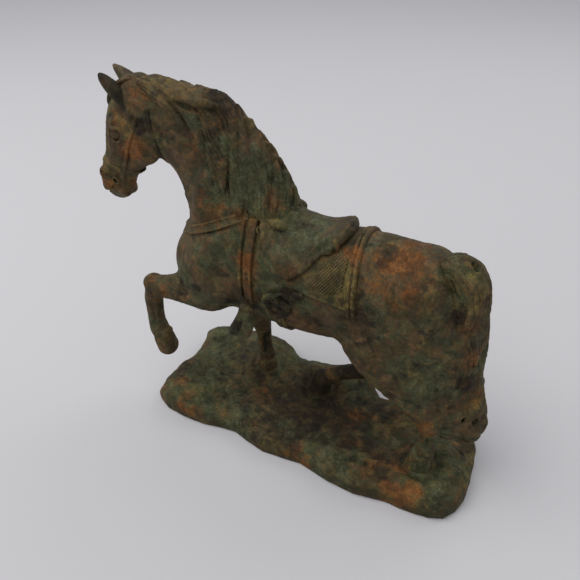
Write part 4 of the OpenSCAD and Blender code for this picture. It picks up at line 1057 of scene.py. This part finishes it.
# girth and cinch rings
gg = Grid((-24, -33, 70), (0, 33, 116), 0.45 * K)
trunk(gg, legs=False)
sl, X, Y, Z = gg.all()
gi = shell(gg, 1.3, np.maximum(np.abs(X + 12 + 0 * Y) - 3.4, Z - 103), 0.6, -0.6, ridge=0.3 * np.cos((X + 12) * 2.6) + 0 * Y + 0 * Z)
make("bronze_girth", extract(gi, 1, 0.08), "bronze_dark", ["girth"], (0, 0.05, 0, 0))
for s, nm in ((-1, "left_girth_boss"), (1, "right_girth_boss")):
    bo = Grid((-24, min(s * 20, s * 31), 92), (0, max(s * 20, s * 31), 116), 0.33 * K)
    c = np.array([-12, s * 25.6, 104.0])
    n = np.array([0, s * 0.99, -0.12])
    sl2, X2, Y2, Z2 = bo.all()
    t = (X2 - c[0]) * n[0] + (Y2 - c[1]) * n[1] + (Z2 - c[2]) * n[2]
    rr = np.sqrt(np.maximum((X2 - c[0]) ** 2 + (Y2 - c[1]) ** 2 + (Z2 - c[2]) ** 2 - t * t, 0))
    bo.f = smax(np.abs(t) - 1.1, rr - 6.6, 1.0).astype(np.float32)
    add_torus(bo, c + n * 0.9, n, 6.5, 1.35, 0.8)
    add_torus(bo, c + n * 1.0, n, 3.0, 0.8, 0.5)
    add_ell(bo, c + n * 1.0 + np.array([3.8, 0, 2.6]), (2.6, 1.6, 2.2), 1.0)
    add_ell(bo, c + n * 0.9 + np.array([5.4, 0, -2.6]), (1.9, 1.5, 4.4), 0.6, tilt(35))
    cut_ell(bo, c + n * 1.8 + np.array([3.4, 0, -0.6]), (2.0, 1.8, 1.5), 0.6)
    cut_ell(bo, c + n * 1.6 + np.array([-2.2, 0, 1.2]), (1.4, 1.2, 1.2), 0.5)
    for k in range(9):
        an = 0.7 * k
        rk_ = 4.2 + 2.2 * rng.random()
        add_ell(bo, c + n * (0.9 + 0.6 * rng.random()) + np.array([rk_ * math.cos(an), 0, rk_ * math.sin(an)]), (1.0 + rng.random(), 0.9, 1.0 + rng.random()), 0.8)
    cut_ell(bo, (-7.0, s * 28.0, 109.6), (3.8, 3.6, 3.2), 0.7)
    add_torus(bo, (-7.2, s * 26.8, 108.8), n, 4.3, 0.8, 0.6)
    make("bronze_" + nm, extract(bo, 1, 0.30), "bronze_green", [nm], (0.05, 0.1, 0.12, 0.0))
    # strap end knotted behind the ring
    kn = Grid((-8, min(s * 18, s * 31), 104), (6, max(s * 18, s * 31), 120), 0.36 * K)
    kn.f[:] = 9
    add_ell(kn, (-0.6, s * 26.2, 113.4), (2.4, 2.2, 2.6), 0.8)
    add_ell(kn, (1.8, s * 25.8, 115.0), (1.6, 1.8, 1.4), 0.8, tilt(-30))
    add_ell(kn, (-2.8, s * 26.0, 111.4), (1.8, 1.6, 1.6), 0.8)
    make("bronze_strap_knot_" + nm.split("_")[0], extract(kn, 1, 0.2), "bronze_dark", (), (0, 0, 0.7, 0.0))

# stirrups
for s, nm in ((-1, "left_stirrup"), (1, "right_stirrup")):
    st = Grid((-42, min(s * 23.5, s * 34), 75), (-22, max(s * 23.5, s * 34), 101), 0.33 * K)
    rows = []
    for k in range(8):
        t = k / 7
        xc, hx, hy = -27.6 - 5.4 * t * t, 4.2 + 1.2 * math.sin(math.radians(90 * t)), 1.7 + 1.3 * math.sin(math.radians(111 * t))
        rows.append([xc + hx, s * (28.6 - 0.6 * t), 98 - 20 * t, xc - hx, s * (28.6 - 0.6 * t), 98 - 20 * t, hy])
    sweep_into(st, rows, 0)
    sweep_into(st, lock_rows([(-29.8, s * 28.2, 99), (-31.2, s * 29.2, 93), (-33.8, s * 29.6, 87), (-36.0, s * 29.4, 82), (-37.4, s * 28.8, 77)], [1.6, 1.9, 2.1, 2.3, 2.4], 0.9, (0, 1, 0)), 0.7)
    cut_ell(st, (-30.8, s * 31.4, 87), (0.9, 1.5, 9), 0.8, tilt(20))
    cut_ell(st, (-27.4, s * 31.8, 86), (2.4, 1.6, 7), 1.2, tilt(12))
    add_ell(st, (-28.6, s * 27.6, 98.4), (2.8, 1.6, 1.8), 1.0)
    sl2, X2, Y2, Z2 = st.all()
    st.f = np.maximum(st.f, (78.2 - Z2 + 0 * X2 + 0 * Y2).astype(np.float32))
    make("bronze_" + nm, extract(st, 1, 0.12), "bronze_dark", [nm], (0, 0.12, 0.1, 0))

# breast collar
gc = Grid((-82, -24, 112), (-28, 24, 150), 0.42 * K)
trunk(gc, legs=False)
sl, X, Y, Z = gc.all()
c25, s25 = math.cos(math.radians(25)), math.sin(math.radians(25))
dc = -(X + 55.5) * s25 + (Z - 133.8) * c25 + 0 * Y
uc = (X + 55.5) * c25 + (Z - 133.8) * s25 + 0 * Y
co_ = shell(gc, 0.9, np.maximum(np.abs(dc) - 2.3, np.abs(uc) - 25), 0.6, -0.6, ridge=0.45 * np.exp(-((np.abs(dc) - 1.7) / 0.5) ** 2))
make("bronze_breast_collar", extract(co_, 1, 0.08), "bronze_rust", ["breast_collar"], (0.1, 0.1, 0, 0.1))
del gc, co_, gs, gg

# ------------------------------------------------------------------ ground plate
gp = Grid((-102, -45, -1.5), (103, 51, 21), 0.70 * K)
sl, X, Y, Z = gp.all()
x2, y2 = X[:, :, 0], Y[:, :, 0]
near_edge = [(46, 28.5) if p == (45, 34) else (35, 29.0) if p == (35, 36) else (26, 36.5) if p == (26, 42) else (56, 32) if p == (55, 34.5) else p for p in PLATE]
pp = poly_sdf(x2, y2, near_edge)


def bump2(cx, cy, r, h):
    return h * np.exp(-((x2 - cx) ** 2 + (y2 - cy) ** 2) / (r * r))


ground = 11 + bump2(72, -17, 16, 3.4) + bump2(90, -10, 14, 3) + bump2(-42, 19, 17, 1.6) + bump2(-3, 16, 12, 0.6) + bump2(-50, 38, 14, 3.2) \
    + bump2(16, 36, 14, 3.4) + bump2(-84, 30, 12, 2.6) + bump2(60, 22, 18, 0.4) + bump2(30, -28, 14, 1.4) + bump2(-70, -18, 18, 1.6) - bump2(20, 0, 22, 1.2) \
    + 0.7 * np.sin(np.radians(x2 * 7 + y2 * 3)) + 0.6 * np.sin(np.radians(x2 * 3 - y2 * 9))
ground = ground + bump2(84, 0, 8, 3.4) + bump2(88, -14, 7, 1.6) - bump2(84, -24, 5, 0.8) - bump2(78, -8, 4, 1.2)


def step2(d, w):
    return 1 / (1 + np.exp(-d / w))


# ledges: a raised shelf on the left with its brow along y = -38 to -10, and a low hollow in the middle
brow = (y2 - (-39.5 + 0.72 * (x2 + 85))) * 0.81
ground = ground + 2.6 * step2(brow, 1.5) * step2(-(x2 + 36), 5) * step2(30 - y2, 6) - 0.9 * np.exp(-((brow + 3) / 3.0) ** 2) * step2(-(x2 + 40), 6)
ground = ground - 2.0 * np.exp(-((x2 + 4) / 20) ** 2 - ((y2 + 1) / 13) ** 2)
ground = ground + 1.3 * np.exp(-((x2 + y2 * 0.4 - 20) / 4) ** 2 - ((y2 + 4) / 15) ** 2)
ground = ground + 1.5 * np.exp(-((y2 + 27 + 3 * np.sin(x2 / 9)) / 3.2) ** 2) * step2(x2 - 0, 5)
ground = ground + 1.2 * np.exp(-((y2 - 33 - 3 * np.sin(x2 / 11)) / 4) ** 2) * step2(8 - x2, 5)
for hx, hy in HOOFS:
    ground = ground - 1.3 * np.exp(-((np.sqrt((x2 - hx) ** 2 + (y2 - hy) ** 2) - 9.5) / 2.4) ** 2)
pts = np.stack([np.broadcast_to(x2, ground.shape).ravel(), np.broadcast_to(y2, ground.shape).ravel(), np.zeros(ground.size)], 1)
rk = (1.9 * fbm(pts, 18, 4, 100) - 1.5 * np.abs(fbm(pts * [0.6, 1.2, 1], 10, 3, 110)) + 0.5 * fbm(pts, 3.6, 3, 120)).reshape(ground.shape)
calm = np.ones_like(ground)
for hx, hy in HOOFS:
    calm *= 1 - 0.7 * np.exp(-((x2 - hx) ** 2 + (y2 - hy) ** 2) / 90)
ground = ground + rk * calm
edge_n = (1.6 * fbm(pts, 11, 3, 130)).reshape(ground.shape)
side = pp[:, :, None] + edge_n[:, :, None] * np.clip(Z / 9, 0, 1) - 0.3 + 0.035 * (Z - 4) ** 2 * (Z < 4) / 2
gp.f = smax(smax((Z - ground[:, :, None]) * 0.92, side, 6.5), -Z + 0 * X, 0.8).astype(np.float32)
hol = np.maximum(pp[:, :, None] + 7.0, Z - 6.0)
for hx, hy in HOOFS:
    hol = np.maximum(hol, np.minimum(6.0 - np.sqrt((X - hx) ** 2 + (Y - hy) ** 2), 100) - np.maximum(5.0 - Z, 0) * 100)
hol = np.maximum(hol, -2 - Z)
gp.f = np.maximum(gp.f, -hol.astype(np.float32))
for hx, hy in HOOFS:
    gp.f = np.maximum(gp.f, (2.3 - np.sqrt((X - hx) ** 2 + (Y - hy) ** 2) + 0 * Z).astype(np.float32))
make("bronze_ground_plate", extract(gp, 1, 0.14), "bronze_green", ["ground_plate"], (0, 0, 0, 0),
     lambda p: (np.array([0.03, 0.08, 0.12, -0.02]), np.array([0.9, 0.9, 0.75, 0.75])))
del gp

# ------------------------------------------------------------------ fixings keep their CAD shape
fx = bpy.data.materials.new("fixing_brass")
fx.use_nodes = True
nt = fx.node_tree
bs = nt.nodes["Principled BSDF"]
bs.inputs["Metallic"].default_value = 1.0
no = nt.nodes.new("ShaderNodeTexNoise")
no.inputs["Scale"].default_value = 700
no.inputs["Detail"].default_value = 6
tc = nt.nodes.new("ShaderNodeTexCoord")
nt.links.new(tc.outputs["Object"], no.inputs["Vector"])
cr = nt.nodes.new("ShaderNodeValToRGB")
cr.color_ramp.elements[0].position = 0.35
cr.color_ramp.elements[0].color = (0.16, 0.10, 0.045, 1)
cr.color_ramp.elements[1].position = 0.68
cr.color_ramp.elements[1].color = (0.52, 0.38, 0.17, 1)
nt.links.new(no.outputs["Fac"], cr.inputs[0])
nt.links.new(cr.outputs[0], bs.inputs["Base Color"])
mr = nt.nodes.new("ShaderNodeMapRange")
mr.inputs["To Min"].default_value = 0.3
mr.inputs["To Max"].default_value = 0.6
nt.links.new(no.outputs["Fac"], mr.inputs["Value"])
nt.links.new(mr.outputs[0], bs.inputs["Roughness"])
bu = nt.nodes.new("ShaderNodeBump")
bu.inputs["Strength"].default_value = 0.25
bu.inputs["Distance"].default_value = 0.0003
nt.links.new(no.outputs["Fac"], bu.inputs["Height"])
nt.links.new(bu.outputs[0], bs.inputs["Normal"])
for o in bpy.data.objects:
    if o.type == "MESH" and o.name in ("hoof_studs", "washers", "nuts"):
        for sl_ in o.material_slots:
            sl_.link = "OBJECT"
            sl_.material = fx

# ------------------------------------------------------------------ floor, light, camera
def stage_mesh(name, verts, faces, mat):
    me = bpy.data.meshes.new(name)
    me.from_pydata(verts, [], faces)
    o = bpy.data.objects.new(name, me)
    bpy.context.scene.collection.objects.link(o)
    me.materials.append(mat)
    return o


fm = bpy.data.materials.new("floor")
fm.use_nodes = True
b = fm.node_tree.nodes["Principled BSDF"]
b.inputs["Base Color"].default_value = (0.545, 0.535, 0.545, 1)
b.inputs["Roughness"].default_value = 0.85
b.inputs["Specular IOR Level"].default_value = 0.2
stage_mesh("floor", [(-4, -4, 0), (4, -4, 0), (4, 4, 0), (-4, 4, 0)], [(0, 1, 2, 3)], fm)

sc = bpy.context.scene
sc.view_settings.view_transform = "Standard"
w = sc.world or bpy.data.worlds.new("world")
sc.world = w
w.use_nodes = True
w.node_tree.nodes["Background"].inputs[0].default_value = (0.93, 0.95, 1.0, 1)
w.node_tree.nodes["Background"].inputs[1].default_value = 0.66


def area(name, loc, target, size, power, col=(1, 1, 1)):
    l = bpy.data.lights.new(name, "AREA")
    l.shape = "DISK"
    l.size = size
    l.energy = power
    l.color = col
    o = bpy.data.objects.new(name, l)
    bpy.context.scene.collection.objects.link(o)
    from mathutils import Vector
    d = Vector(target) - Vector(loc)
    o.location = loc
    o.rotation_euler = d.to_track_quat("-Z", "Y").to_euler()
    return o


area("key", (-0.75, -0.35, 1.45), (0, 0, 0.08), 1.3, 14.0, (1.0, 0.99, 0.97))
area("back", (0.45, 0.9, 1.1), (0, 0, 0.1), 1.0, 3.0, (1.0, 0.98, 0.95))

cam = bpy.data.cameras.new("camera")
cam.sensor_width = 36.0
cam.lens = 549.0 / 580.0 * 36.0
cam.clip_start = 0.01
co = bpy.data.objects.new("camera", cam)
sc.collection.objects.link(co)
co.location = ((90.4 + OFF[0]) / 1000, (-219.2 + OFF[1]) / 1000, 0.274)
co.rotation_euler = (math.radians(90 - 36.3), 0, math.radians(26.0))
sc.camera = co
